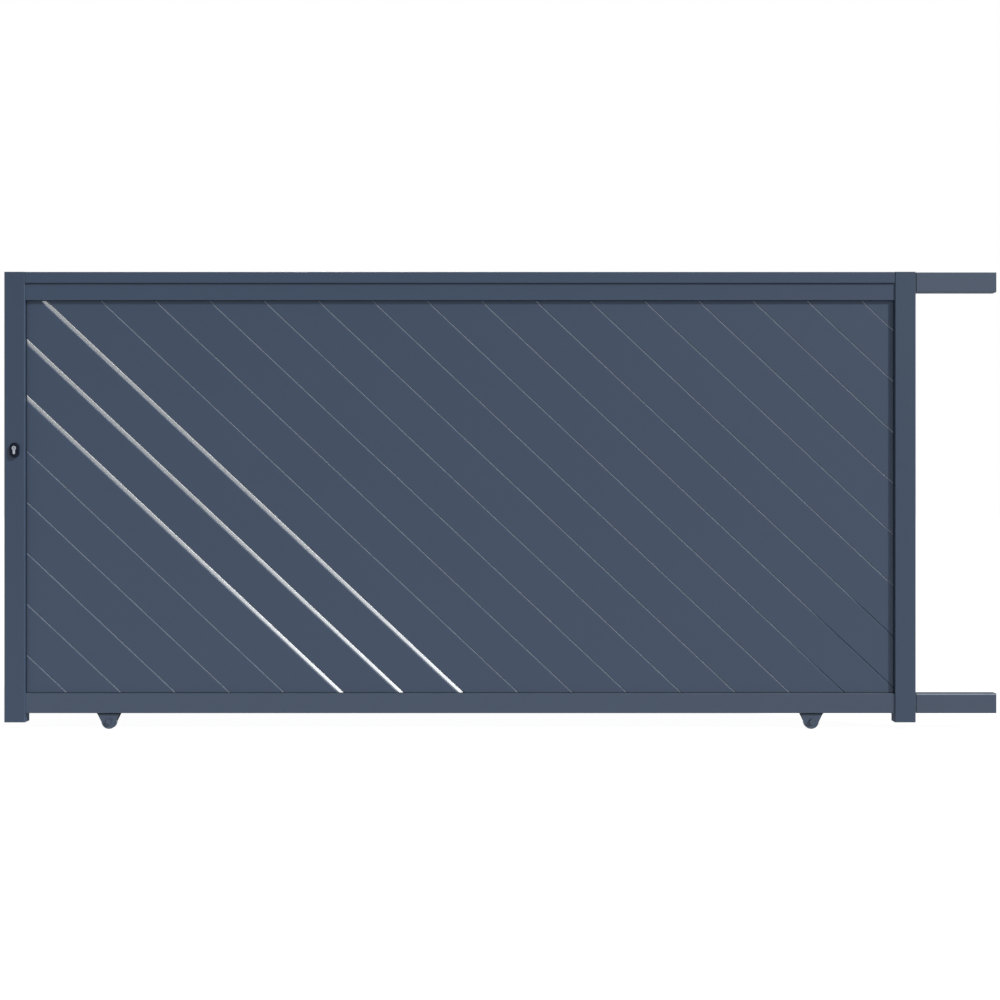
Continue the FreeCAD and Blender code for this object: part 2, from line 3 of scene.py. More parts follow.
import logging
import math
from dataclasses import dataclass
from enum import Enum
from typing import Iterable, Sequence

import bmesh
import bpy
from mathutils import Matrix, Vector


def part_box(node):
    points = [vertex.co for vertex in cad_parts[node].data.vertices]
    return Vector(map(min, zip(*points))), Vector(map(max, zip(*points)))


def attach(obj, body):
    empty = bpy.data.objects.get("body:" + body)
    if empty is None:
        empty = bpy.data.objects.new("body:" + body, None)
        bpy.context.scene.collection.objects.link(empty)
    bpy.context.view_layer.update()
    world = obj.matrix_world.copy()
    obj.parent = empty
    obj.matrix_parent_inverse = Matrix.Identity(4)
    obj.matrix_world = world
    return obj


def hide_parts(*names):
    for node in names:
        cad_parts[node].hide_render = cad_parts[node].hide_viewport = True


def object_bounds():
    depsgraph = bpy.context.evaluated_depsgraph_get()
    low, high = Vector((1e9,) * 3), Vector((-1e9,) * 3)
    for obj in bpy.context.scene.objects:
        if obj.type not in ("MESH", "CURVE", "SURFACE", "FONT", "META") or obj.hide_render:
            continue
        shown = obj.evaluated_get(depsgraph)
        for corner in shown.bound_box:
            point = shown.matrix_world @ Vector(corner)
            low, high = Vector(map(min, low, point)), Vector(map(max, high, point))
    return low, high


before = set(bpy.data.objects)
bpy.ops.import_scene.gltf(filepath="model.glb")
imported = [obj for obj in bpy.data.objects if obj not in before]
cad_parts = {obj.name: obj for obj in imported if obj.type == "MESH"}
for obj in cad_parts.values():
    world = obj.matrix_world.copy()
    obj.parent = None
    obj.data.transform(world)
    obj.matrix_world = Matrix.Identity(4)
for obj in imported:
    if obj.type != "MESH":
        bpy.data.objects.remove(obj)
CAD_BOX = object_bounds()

Socket = bpy.types.NodeSocket
Number = Socket | float
Colour = tuple[float, float, float]
Box = tuple[Vector, Vector]
Point = tuple[float, float, float]

LOG = logging.getLogger("gate")
MM = 0.001


class Body(Enum):
    """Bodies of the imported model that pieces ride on."""

    LEAF = "leaf"
    LEADING_WHEEL = "leading_wheel"
    TRAILING_WHEEL = "trailing_wheel"


class Slot(Enum):
    """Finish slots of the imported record."""

    COAT = "slate_coat"
    INSERT = "bright_insert"
    WHEEL = "wheel_metal"
    FIXING = "fixing_metal"
    LOCK_STEEL = "lock_steel"
    NICKEL = "lock_nickel"
    TRIM = "black_trim"
    CAP = "cap_plastic"
    SLEEVE = "sleeve_metal"


class Face(Enum):
    """Sides of the leaf, as the sign of Y."""

    STREET = -1
    BACK = 1


class Grain(Enum):
    """Directions that a brushed surface is worked in."""

    UPRIGHT = (0.0, 0.0, 1.0)


# ---------------------------------------------------------------- shading


class Shading:
    """Node graph of one material, built by calls that hand sockets on."""

    def __init__(self, name: str) -> None:
        """Start an empty material."""
        self.material = bpy.data.materials.new(name)
        self.material.use_nodes = True
        self.tree = self.material.node_tree
        self.tree.nodes.clear()
        self.place = self.add("ShaderNodeTexCoord").outputs["Object"]

    def add(self, kind: str, **settings: object) -> bpy.types.Node:
        """Add a node and set its properties."""
        node = self.tree.nodes.new(kind)
        for key, value in settings.items():
            setattr(node, key, value)
        return node

    def feed(self, socket: Socket, value: object) -> None:
        """Link a socket into an input, or write a constant there."""
        if isinstance(value, bpy.types.NodeSocket):
            self.tree.links.new(value, socket)
        else:
            socket.default_value = value

    def math(self, operation: str, *values: Number) -> Socket:
        """Result of a Math node."""
        node = self.add("ShaderNodeMath", operation=operation)
        for socket, value in zip(node.inputs, values):
            self.feed(socket, value)
        return node.outputs[0]

    def vector(self, operation: str, *values: object) -> Socket:
        """Vector result of a Vector Math node."""
        node = self.add("ShaderNodeVectorMath", operation=operation)
        for socket, value in zip(node.inputs, values):
            self.feed(socket, value)
        return node.outputs["Vector"]

    def reach(self, direction: Point) -> Socket:
        """Distance of the shaded point from the origin along a direction."""
        node = self.add("ShaderNodeVectorMath", operation="DOT_PRODUCT")
        self.feed(node.inputs[0], self.place)
        self.feed(node.inputs[1], direction)
        return node.outputs["Value"]

    def combined(self, x: Number, y: Number, z: Number) -> Socket:
        """Vector of three values."""
        node = self.add("ShaderNodeCombineXYZ")
        for socket, value in zip(node.inputs, (x, y, z)):
            self.feed(socket, value)
        return node.outputs[0]

    def parts(self, vector: Socket) -> Sequence[Socket]:
        """X, Y and Z of a vector."""
        node = self.add("ShaderNodeSeparateXYZ")
        self.feed(node.inputs[0], vector)
        return node.outputs

    def noise(self, vector: Socket, scale: float, detail: float = 2.0) -> Socket:
        """Noise between 0 and 1."""
        node = self.add("ShaderNodeTexNoise")
        self.feed(node.inputs["Vector"], vector)
        node.inputs["Scale"].default_value = scale
        node.inputs["Detail"].default_value = detail
        return node.outputs[0]

    def swing(self, value: Number, amount: float) -> Socket:
        """Value between 0 and 1 spread to plus or minus an amount."""
        return self.math("MULTIPLY_ADD", value, 2 * amount, -amount)

    def smooth(self, value: Number, start: float, end: float) -> Socket:
        """Smooth step from 0 at the start to 1 at the end."""
        node = self.add("ShaderNodeMapRange", interpolation_type="SMOOTHSTEP")
        for socket, number in zip(node.inputs, (value, start, end, 0.0, 1.0)):
            self.feed(socket, number)
        return node.outputs[0]

    def mix(self, factor: Number, first: object, second: object) -> Socket:
        """Blend of two colours."""
        node = self.add("ShaderNodeMix", data_type="RGBA")
        self.feed(node.inputs[0], factor)
        for socket, colour in ((node.inputs[6], first), (node.inputs[7], second)):
            self.feed(socket, colour if isinstance(colour, bpy.types.NodeSocket) else (*colour, 1.0))
        return node.outputs[2]

    def toned(self, colour: Colour, tone: Socket) -> Socket:
        """Colour made lighter or darker by a tone about 0."""
        return self.vector("MULTIPLY", colour, self.combined(*[self.math("ADD", tone, 1.0)] * 3))

    def edges(self, box: Box, width: float) -> Socket:
        """Mask that is 1 along the edges of a box-shaped piece.

        Args:
            box: Lowest and highest corner of the piece.
            width: Distance over which the mask fades.

        Returns:
            Mask between 0 and 1.
        """
        centre = (box[0] + box[1]) / 2
        half = (box[1] - box[0]) / 2
        offset = self.vector("ABSOLUTE", self.vector("SUBTRACT", self.place, tuple(centre)))
        x, y, z = self.parts(self.vector("SUBTRACT", tuple(half), offset))
        nearest = self.math("MINIMUM", x, y)
        other = self.math("MINIMUM", self.math("MAXIMUM", x, y), z)
        return self.smooth(self.math("MAXIMUM", nearest, other), width, 0.0)

    def bump(self, height: Socket, depth: float) -> Socket:
        """Normal of a relief of a given depth in metres."""
        node = self.add("ShaderNodeBump")
        node.inputs["Strength"].default_value = 1.0
        node.inputs["Distance"].default_value = depth
        self.feed(node.inputs["Height"], height)
        return node.outputs["Normal"]

    def surface(
        self,
        colour: Socket,
        roughness: Number,
        normal: Socket | None = None,
        metallic: Number = 0.0,
        specular: float = 0.5,
    ) -> bpy.types.Material:
        """Close the graph with a surface shader.

        Args:
            colour: Base colour.
            roughness: Roughness, a socket or a constant.
            normal: Normal from a relief, or None for a smooth surface.
            metallic: Share of bare metal.
            specular: Specular level of the coat.

        Returns:
            The finished material.
        """
        shader = self.add("ShaderNodeBsdfPrincipled")
        self.feed(shader.inputs["Base Color"], colour)
        self.feed(shader.inputs["Roughness"], roughness)
        self.feed(shader.inputs["Metallic"], metallic)
        shader.inputs["Specular IOR Level"].default_value = specular
        if normal is not None:
            self.feed(shader.inputs["Normal"], normal)
        output = self.add("ShaderNodeOutputMaterial")
        self.tree.links.new(shader.outputs[0], output.inputs["Surface"])
        return self.material


@dataclass(frozen=True)
class PowderCoat:
    """Satin powder coat: fine peel, slow drift of tone, worn edges and a film of dust on top."""

    colour: Colour = (0.0305, 0.0501, 0.0862)
    worn: Colour = (0.105, 0.130, 0.170)
    dust: Colour = (0.120, 0.122, 0.122)
    roughness: float = 0.48
    drift: float = 0.025
    speckle: float = 0.045
    wear: float = 0.35
    wear_width: float = 1.6 * MM
    peel_scale: float = 420.0
    peel_depth: float = 0.012 * MM
    specular: float = 0.38

    def tone(self, shading: Shading) -> Socket:
        """Drift of the colour over the piece, with the powder's speckle."""
        slow = shading.swing(shading.noise(shading.place, 2.3, 3.0), self.drift)
        mottle = shading.swing(shading.noise(shading.place, 38.0, 4.0), self.drift * 0.6)
        fine = shading.swing(shading.noise(shading.place, 1500.0, 1.0), self.speckle)
        return shading.math("ADD", shading.math("ADD", slow, mottle), fine)

    def wear_mask(self, shading: Shading, box: Box) -> Socket:
        """Where the coat is rubbed, broken up by noise."""
        rubbed = shading.smooth(shading.noise(shading.place, 90.0, 3.0), 0.38, 0.68)
        return shading.math("MULTIPLY", shading.edges(box, self.wear_width), rubbed)

    def dust_mask(self, shading: Shading) -> Socket:
        """Dust that settles on surfaces that face up."""
        up = shading.parts(shading.add("ShaderNodeNewGeometry").outputs["Normal"])[2]
        settled = shading.math("MULTIPLY", shading.smooth(up, 0.55, 0.98), 0.45)
        return shading.math("MULTIPLY", settled, shading.noise(shading.place, 22.0, 4.0))

    def touched(self, shading: Shading, colour: Socket, box: Box) -> Socket:
        """Colour with the marks that only some pieces have."""
        return colour

    def evened(self, shading: Shading, rough: Socket) -> Socket:
        """Roughness with the places that only some pieces have."""
        return rough

    def make(self, name: str, box: Box) -> bpy.types.Material:
        """Material for one piece.

        Args:
            name: Name of the piece.
            box: Box of the piece, which places the worn edges.

        Returns:
            The finished material.
        """
        shading = Shading(name + "_coat")
        worn = shading.math("MULTIPLY", self.wear_mask(shading, box), self.wear)
        dusty = self.dust_mask(shading)
        colour = shading.toned(self.colour, self.tone(shading))
        colour = shading.mix(worn, colour, self.worn)
        colour = self.touched(shading, shading.mix(dusty, colour, self.dust), box)
        rough = shading.math("ADD", shading.swing(shading.noise(shading.place, 60.0), 0.05), self.roughness)
        rough = shading.math("MULTIPLY_ADD", dusty, 0.3, shading.math("MULTIPLY_ADD", worn, -0.25, rough))
        rough = self.evened(shading, rough)
        peel = shading.noise(shading.place, self.peel_scale, 1.5)
        return shading.surface(colour, rough, shading.bump(peel, self.peel_depth), specular=self.specular)


@dataclass(frozen=True)
class BoardCoat(PowderCoat):
    """Powder coat of a board: each board a shade of its own, faint draw lines and painted highlights on the chamfers.
    """

    colour: Colour = (0.0343, 0.0544, 0.0930)
    angle: float = math.radians(43.2)
    cover: float = 146.6 * MM
    chamfer: float = 2.9 * MM
    highlight_width: float = 1.9 * MM
    foot_highlight_width: float = 0.9 * MM
    # Colours of the painted highlights on the chamfers and at the groove's foot.
    upper_chamfer_highlight: Colour = (0.205, 0.232, 0.290)
    lower_chamfer_light: Colour = (0.048, 0.072, 0.118)
    foot_highlight: Colour = (0.46, 0.49, 0.54)
    chamfer_roughness: float = 0.75
    back_share: float = 0.3
    start: float = 0.0
    shade: float = 0.0

    def across(self) -> Point:
        """Direction across the boards, up and to the right."""
        return (math.sin(self.angle), 0.0, math.cos(self.angle))

    def along(self) -> Point:
        """Direction along the boards, up and to the left."""
        return (-math.cos(self.angle), 0.0, math.sin(self.angle))

    def tone(self, shading: Shading) -> Socket:
        """Tone of the coat with the board's own shade and the lines left from drawing the profile."""
        lines = shading.combined(
            shading.math("MULTIPLY", shading.reach(self.across()), 160.0),
            0.0,
            shading.math("MULTIPLY", shading.reach(self.along()), 1.2),
        )
        drawn = shading.swing(shading.noise(lines, 1.0, 3.0), 0.012)
        own = shading.math("ADD", drawn, self.shade)
        return shading.math("ADD", super().tone(shading), own)

    def wear_mask(self, shading: Shading, box: Box) -> Socket:
        """Rubbed lines where each chamfer meets the board's face."""
        place = shading.reach(self.across())
        lower = shading.math("ABSOLUTE", shading.math("SUBTRACT", place, self.start + self.chamfer))
        upper_place = self.start + self.cover - self.chamfer
        upper = shading.math("ABSOLUTE", shading.math("SUBTRACT", place, upper_place))
        line = shading.smooth(shading.math("MINIMUM", lower, upper), 0.7 * MM, 0.0)
        rubbed = shading.smooth(shading.noise(shading.place, 70.0, 3.0), 0.4, 0.7)
        return shading.math("MULTIPLY", line, rubbed)

    def touched(self, shading: Shading, colour: Socket, box: Box) -> Socket:
        """Painted highlights on the chamfers: strong on the upper side and at the groove's foot, fainter on the lower
        side.
        """
        offset = shading.math("SUBTRACT", shading.reach(self.across()), self.start + self.cover / 2)
        edge = self.cover / 2 - self.chamfer
        highlight_from = self.cover / 2 - self.highlight_width
        upper = shading.smooth(offset, highlight_from - 0.1 * MM, highlight_from + 0.1 * MM)
        lower = shading.smooth(offset, -edge + 0.1 * MM, -edge - 0.1 * MM)
        foot_highlight_from = self.foot_highlight_width - self.cover / 2
        foot = shading.smooth(offset, foot_highlight_from + 0.1 * MM, foot_highlight_from - 0.1 * MM)
        x, y, z = shading.parts(shading.place)
        # Painted highlights fade out towards the leaf's lower right corner.
        right = shading.smooth(x, 3.08, 3.26)
        low = shading.smooth(shading.math("MULTIPLY_ADD", x, -0.3, z), 0.42 - 0.96, 0.32 - 0.96)
        corner = shading.math("MULTIPLY", right, low)
        side = shading.smooth(y, 0.5 * MM, -0.5 * MM)
        share = shading.math("MULTIPLY_ADD", side, 1.0 - self.back_share, self.back_share)
        share = shading.math("MULTIPLY", share, shading.math("MULTIPLY_ADD", corner, -0.92, 1.0))
        # Noise that breaks up the painted highlights.
        thin = shading.math("MULTIPLY_ADD", shading.noise(shading.place, 40.0, 3.0), 0.3, 0.85)
        share = shading.math("MULTIPLY", share, thin)
        colour = shading.mix(shading.math("MULTIPLY", upper, share), colour, self.upper_chamfer_highlight)
        colour = shading.mix(shading.math("MULTIPLY", lower, share), colour, self.lower_chamfer_light)
        return shading.mix(shading.math("MULTIPLY", foot, share), colour, self.foot_highlight)

    def evened(self, shading: Shading, rough: Socket) -> Socket:
        """Chamfers rougher than the face, where the powder lies thin and dry."""
        middle = self.start + self.cover / 2
        offset = shading.math("ABSOLUTE", shading.math("SUBTRACT", shading.reach(self.across()), middle))
        edge = self.cover / 2 - self.chamfer
        inside = shading.smooth(offset, edge - 0.1 * MM, edge + 0.1 * MM)
        gain = shading.math("SUBTRACT", self.chamfer_roughness, rough)
        return shading.math("MULTIPLY_ADD", inside, gain, rough)


@dataclass(frozen=True)
class BracketCoat(PowderCoat):
    """Powder coat of a folded bracket, with painted shade that makes it nearly black inside the fold."""

    colour: Colour = (0.0410, 0.0602, 0.0959)
    # Colour of the painted shade inside the fold.
    inside_shade: Colour = (0.0090, 0.0125, 0.0190)
    inner_half: float = 12.2 * MM

    def touched(self, shading: Shading, colour: Socket, box: Box) -> Socket:
        """Painted shade inside the fold."""
        depth = shading.math("ABSOLUTE", shading.parts(shading.place)[1])
        return shading.mix(shading.math("LESS_THAN", depth, self.inner_half), colour, self.inside_shade)


@dataclass(frozen=True)
class TailCoat(PowderCoat):
    """Powder coat of a tail, with a painted highlight in a line near the top of its street face."""

    # Colour of the painted highlight line.
    rubbed: Colour = (0.36, 0.39, 0.44)
    highlight_drop: float = 3.9 * MM
    highlight_half: float = 1.5 * MM
    highlight_share: float = 0.0

    def touched(self, shading: Shading, colour: Socket, box: Box) -> Socket:
        """Painted highlight in a line below the top of the street face."""
        parts = shading.parts(shading.place)
        offset = shading.math("ABSOLUTE", shading.math("SUBTRACT", parts[2], box[1].z - self.highlight_drop))
        line = shading.smooth(offset, self.highlight_half, self.highlight_half * 0.6)
        street = shading.math("LESS_THAN", parts[1], box[0].y + 0.5 * MM)
        broken = shading.smooth(shading.noise(shading.place, 25.0, 3.0), 0.2, 0.45)
        share = shading.math("MULTIPLY", shading.math("MULTIPLY", line, street), broken)
        return shading.mix(shading.math("MULTIPLY", share, self.highlight_share), colour, self.rubbed)


@dataclass(frozen=True)
class BrushedInsert:
    """Bright insert, brushed along its length, with coarsely ground chamfers that painted shade darkens."""

    colour: Colour = (0.730, 0.762, 0.798)
    angle: float = math.radians(43.2)
    roughness: float = 0.13
    streak_depth: float = 0.0012 * MM
    flat_half: float = 4.7 * MM
    ground_roughness: float = 0.62
    upper_chamfer_shade: float = 0.68
    lower_chamfer_shade: float = 0.27

    def make(self, name: str, middle: float) -> bpy.types.Material:
        """Material for one insert.

        Args:
            name: Name of the insert.
            middle: Distance of its middle line from the origin, across the boards.

        Returns:
            The finished material.
        """
        shading = Shading(name + "_brushed")
        across = shading.reach((math.sin(self.angle), 0.0, math.cos(self.angle)))
        along = shading.reach((-math.cos(self.angle), 0.0, math.sin(self.angle)))
        depth = shading.parts(shading.place)[1]
        run = shading.combined(
            shading.math("MULTIPLY", across, 5200.0),
            shading.math("MULTIPLY", depth, 5200.0),
            shading.math("MULTIPLY", along, 14.0),
        )
        streak = shading.noise(run, 1.0, 3.0)
        slow = shading.swing(shading.noise(shading.place, 5.0, 3.0), 0.012)
        tone = shading.math("ADD", shading.swing(streak, 0.03), slow)
        smear = shading.swing(shading.noise(shading.place, 35.0, 3.0), 0.02)
        rough = shading.math("ADD", shading.math("MULTIPLY_ADD", streak, 0.06, self.roughness), smear)
        offset = shading.math("SUBTRACT", across, middle)
        edge = (self.flat_half - 0.1 * MM, self.flat_half + 0.1 * MM)
        ground = shading.smooth(shading.math("ABSOLUTE", offset), *edge)
        upper = shading.smooth(offset, *edge)
        lower = shading.math("SUBTRACT", ground, upper)
        coarse = shading.math("SUBTRACT", self.ground_roughness, rough)
        rough = shading.math("MULTIPLY_ADD", ground, coarse, rough)
        # Painted shade on both chamfers, the upper one darker, dimming what they reflect.
        tone = shading.math("MULTIPLY_ADD", upper, -self.upper_chamfer_shade, tone)
        tone = shading.math("MULTIPLY_ADD", lower, -self.lower_chamfer_shade, tone)
        normal = shading.bump(streak, self.streak_depth)
        return shading.surface(shading.toned(self.colour, tone), rough, normal, metallic=1.0)


@dataclass(frozen=True)
class BrushedSteel:
    """Stainless steel worked in one direction, a little brighter along its edges."""

    colour: Colour = (0.52, 0.525, 0.53)
    grain: Grain = Grain.UPRIGHT
    roughness: float = 0.3
    streak_depth: float = 0.002 * MM

    def make(self, name: str, box: Box) -> bpy.types.Material:
        """Material for one piece."""
        shading = Shading(name + "_steel")
        stretch = tuple(60.0 if part else 4200.0 for part in self.grain.value)
        streak = shading.noise(shading.vector("MULTIPLY", shading.place, stretch), 1.0, 3.0)
        cloud = shading.swing(shading.noise(shading.place, 55.0, 3.0), 0.03)
        tone = shading.math("ADD", shading.swing(streak, 0.06), cloud)
        colour = shading.mix(
            shading.math("MULTIPLY", shading.edges(box, 0.6 * MM), 0.35),
            shading.toned(self.colour, tone),
            (0.72, 0.725, 0.73),
        )
        rough = shading.math("MULTIPLY_ADD", streak, 0.12, self.roughness)
        return shading.surface(colour, rough, shading.bump(streak, self.streak_depth), metallic=1.0)


@dataclass(frozen=True)
class TurnedSteel:
    """Dark burnished steel with turning marks about an axle and a bright running groove."""

    colour: Colour = (0.086, 0.106, 0.140)
    polished: Colour = (0.40, 0.41, 0.42)
    shield: Colour = (0.020, 0.022, 0.026)
    roughness: float = 0.38
    shield_span: tuple[float, float] = (8.7 * MM, 11.6 * MM)
    groove_from: float = 24.6 * MM
    groove_half: float = 4.9 * MM

    def make(self, name: str, centre: Vector) -> bpy.types.Material:
        """Material for one wheel.

        Args:
            name: Name of the wheel.
            centre: Middle of the axle.

        Returns:
            The finished material.
        """
        shading = Shading(name + "_turned")
        x, y, z = shading.parts(shading.vector("SUBTRACT", shading.place, tuple(centre)))
        radius = shading.math("SQRT", shading.math("ADD", shading.math("POWER", x, 2.0), shading.math("POWER", z, 2.0)))
        depth = shading.math("ABSOLUTE", y)
        turning = shading.combined(shading.math("MULTIPLY", radius, 3000.0), shading.math("MULTIPLY", depth, 3000.0), 0.0)
        lines = shading.noise(turning, 1.0, 2.0)
        patch = shading.noise(shading.place, 120.0, 4.0)
        tone = shading.math("ADD", shading.swing(lines, 0.1), shading.swing(patch, 0.12))
        colour = shading.toned(self.colour, tone)
        run = shading.math(
            "MULTIPLY",
            shading.smooth(radius, self.groove_from, self.groove_from + 0.3 * MM),
            shading.smooth(depth, self.groove_half, self.groove_half - 1.2 * MM),
        )
        colour = shading.mix(shading.math("MULTIPLY", run, 0.85), colour, self.polished)
        ring = shading.math(
            "MULTIPLY",
            shading.math("GREATER_THAN", radius, self.shield_span[0]),
            shading.math("LESS_THAN", radius, self.shield_span[1]),
        )
        ring = shading.math("MULTIPLY", ring, shading.math("GREATER_THAN", depth, 8.0 * MM))
        colour = shading.mix(ring, colour, self.shield)
        rough = shading.math("MULTIPLY_ADD", patch, 0.16, self.roughness - 0.08)
        rough = shading.math("MULTIPLY_ADD", run, -0.16, rough)
        metallic = shading.math("MULTIPLY_ADD", ring, -0.8, 0.92)
        return shading.surface(colour, rough, shading.bump(lines, 0.004 * MM), metallic=metallic)


@dataclass(frozen=True)
class CoatedFixing:
    """Dark coated steel of bolts and screws, rubbed bright where a tool grips."""

    colour: Colour = (0.034, 0.050, 0.082)
    bright: Colour = (0.30, 0.31, 0.33)
    roughness: float = 0.42

    def make(self, name: str, box: Box) -> bpy.types.Material:
        """Material for one group of fixings."""
        shading = Shading(name + "_fixing")
        patch = shading.noise(shading.place, 260.0, 4.0)
        rubbed = shading.math("MULTIPLY", shading.edges(box, 0.9 * MM), shading.smooth(patch, 0.42, 0.7))
        colour = shading.toned(self.colour, shading.swing(patch, 0.12))
        colour = shading.mix(shading.math("MULTIPLY", rubbed, 0.5), colour, self.bright)
        rough = shading.math("MULTIPLY_ADD", patch, 0.14, self.roughness - 0.07)
        height = shading.noise(shading.place, 1100.0, 2.0)
        return shading.surface(colour, rough, shading.bump(height, 0.01 * MM), metallic=shading.math("MULTIPLY", rubbed, 0.6))


@dataclass(frozen=True)
class SatinNickel:
    """Satin nickel plate with a fine blasted grain and faint key marks."""

    colour: Colour = (0.455, 0.495, 0.535)
    roughness: float = 0.44

    def make(self, name: str) -> bpy.types.Material:
        """Material for the lock cylinder."""
        shading = Shading(name + "_nickel")
        blasted = shading.noise(shading.place, 2600.0, 2.0)
        handled = shading.noise(shading.place, 170.0, 4.0)
        tone = shading.math("ADD", shading.swing(blasted, 0.03), shading.swing(handled, 0.04))
        rough = shading.math("MULTIPLY_ADD", handled, 0.12, self.roughness - 0.06)
        return shading.surface(shading.toned(self.colour, tone), rough, shading.bump(blasted, 0.003 * MM), metallic=1.0)


@dataclass(frozen=True)
class MouldedPlastic:
    """Moulded plastic with an eroded grain, slightly greyed along the edges."""

    colour: Colour = (0.0350, 0.0515, 0.0825)
    greyed: Colour = (0.11, 0.13, 0.16)
    roughness: float = 0.55
    grain_scale: float = 900.0
    grain_depth: float = 0.02 * MM
    specular: float = 0.4

    def make(self, name: str, box: Box) -> bpy.types.Material:
        """Material for one moulding."""
        shading = Shading(name + "_plastic")
        grain = shading.noise(shading.place, self.grain_scale, 3.0)
        slow = shading.swing(shading.noise(shading.place, 12.0, 2.0), 0.03)
        tone = shading.math("ADD", shading.swing(grain, 0.06), slow)
        edge = shading.math("MULTIPLY", shading.edges(box, 1.2 * MM), 0.25)
        colour = shading.mix(edge, shading.toned(self.colour, tone), self.greyed)
        rough = shading.math("MULTIPLY_ADD", grain, 0.14, self.roughness - 0.07)
        return shading.surface(colour, rough, shading.bump(grain, self.grain_depth), specular=self.specular)


@dataclass(frozen=True)
class DarkAnodised:
    """Dark anodised aluminium of the sleeves, with faint draw lines along X."""

    colour: Colour = (0.030, 0.037, 0.052)
    roughness: float = 0.34

    def make(self, name: str, box: Box) -> bpy.types.Material:
        """Material for the sleeves."""
        shading = Shading(name + "_anodised")
        drawn = shading.noise(shading.vector("MULTIPLY", shading.place, (18.0, 1600.0, 1600.0)), 1.0, 2.0)
        cloud = shading.swing(shading.noise(shading.place, 30.0, 3.0), 0.04)
        tone = shading.math("ADD", shading.swing(drawn, 0.07), cloud)
        colour = shading.mix(
            shading.math("MULTIPLY", shading.edges(box, 0.8 * MM), 0.3),
            shading.toned(self.colour, tone),
            (0.2, 0.21, 0.23),
        )
        rough = shading.math("MULTIPLY_ADD", drawn, 0.1, self.roughness)
        return shading.surface(colour, rough, shading.bump(drawn, 0.003 * MM), metallic=0.85)


@dataclass(frozen=True)
class SealRubber:
    """Black seal rubber, matt, with a dry bloom here and there."""

    # Blue-black, so that the seals and gaskets also paint in the shade of the corners where they run.
    colour: Colour = (0.0035, 0.0060, 0.0125)
    bloom: Colour = (0.020, 0.024, 0.032)
    roughness: float = 0.72

    def make(self, name: str) -> bpy.types.Material:
        """Material for a seal."""
        shading = Shading(name + "_rubber")
        patch = shading.smooth(shading.noise(shading.place, 45.0, 4.0), 0.5, 0.8)
        colour = shading.mix(shading.math("MULTIPLY", patch, 0.3), self.colour, self.bloom)
        pores = shading.noise(shading.place, 1800.0, 2.0)
        rough = shading.math("MULTIPLY_ADD", pores, 0.1, self.roughness)
        return shading.surface(colour, rough, shading.bump(pores, 0.01 * MM), specular=0.25)


# ---------------------------------------------------------------- meshes


def triangles(piece: bpy.types.Object) -> int:
    """Triangles of a piece's mesh."""
    return sum(len(face.vertices) - 2 for face in piece.data.polygons)


def linked(name: str, mesh: bpy.types.Mesh) -> bpy.types.Object:
    """Object of a mesh, linked to the scene at the origin."""
    piece = bpy.data.objects.new(name, mesh)
    bpy.context.scene.collection.objects.link(piece)
    return piece


def shaded(mesh: bpy.types.Mesh, sharp_from: float = 32.0) -> None:
    """Smooth shading that stays sharp at edges steeper than an angle in degrees."""
    mesh.shade_smooth()
    mesh.set_sharp_from_angle(angle=math.radians(sharp_from))


def outward(mesh: bpy.types.Mesh) -> None:
    """Merge doubles and turn every face of a closed mesh outwards."""
    work = bmesh.new()
    work.from_mesh(mesh)
    bmesh.ops.remove_doubles(work, verts=work.verts, dist=0.002 * MM)
    bmesh.ops.recalc_face_normals(work, faces=work.faces)
    work.to_mesh(mesh)
    work.free()


def lofted(name: str, rings: Sequence[Sequence[Vector]], closed: bool = False) -> bpy.types.Mesh:
    """Skin over rings of equally many points.

    Args:
        name: Name of the mesh.
        rings: Rings in order along the form.
        closed: Whether the last ring joins the first, as on a bored piece. Ends are filled if not.

    Returns:
        A closed mesh whose faces point outwards.
    """
    work = bmesh.new()
    loops = [[work.verts.new(point) for point in ring] for ring in rings]
    count = len(rings[0])
    pairs = list(zip(loops, loops[1:])) + ([(loops[-1], loops[0])] if closed else [])
    for first, second in pairs:
        for i in range(count):
            j = (i + 1) % count
            work.faces.new((first[i], first[j], second[j], second[i]))
    if not closed:
        work.faces.new(loops[0])
        work.faces.new(loops[-1])
    mesh = bpy.data.meshes.new(name)
    work.to_mesh(mesh)
    work.free()
    outward(mesh)
    return mesh


def hexagon_radius(flats: float, angle: float) -> float:
    """Distance from the middle of a hexagon to its side, corners at multiples of 60 degrees."""
    fold = (angle % (math.pi / 3)) - math.pi / 6
    return flats / 2 / math.cos(fold)


def ring(radius: float, height: float, count: int = 48) -> list[Vector]:
    """Round ring about Z."""
    turns = [2 * math.pi * i / count for i in range(count)]
    return [Vector((radius * math.cos(t), radius * math.sin(t), height)) for t in turns]


def hexagon_ring(flats: float, height: float, count: int = 48) -> list[Vector]:
    """Hexagonal ring about Z."""
    made = []
    for i in range(count):
        turn = 2 * math.pi * i / count
        radius = hexagon_radius(flats, turn)
        made.append(Vector((radius * math.cos(turn), radius * math.sin(turn), height)))
    return made


def chamfered_ring(flats: float, height: float, rise: int, count: int = 48) -> list[Vector]:
    """Hexagonal ring bent by the cone that chamfers a bolt head or a nut.

    Args:
        flats: Width over the hexagon's flats.
        height: Height at which the cone meets the round top.
        rise: 1 at an upper end, -1 at a lower one.
        count: Points round the ring.

    Returns:
        Points round the ring.
    """
    made = []
    for i in range(count):
        turn = 2 * math.pi * i / count
        radius = hexagon_radius(flats, turn)
        drop = (radius - flats * 0.475) * math.tan(math.radians(28))
        made.append(Vector((radius * math.cos(turn), radius * math.sin(turn), height - rise * drop)))
    return made


# ---------------------------------------------------------------- grown pieces


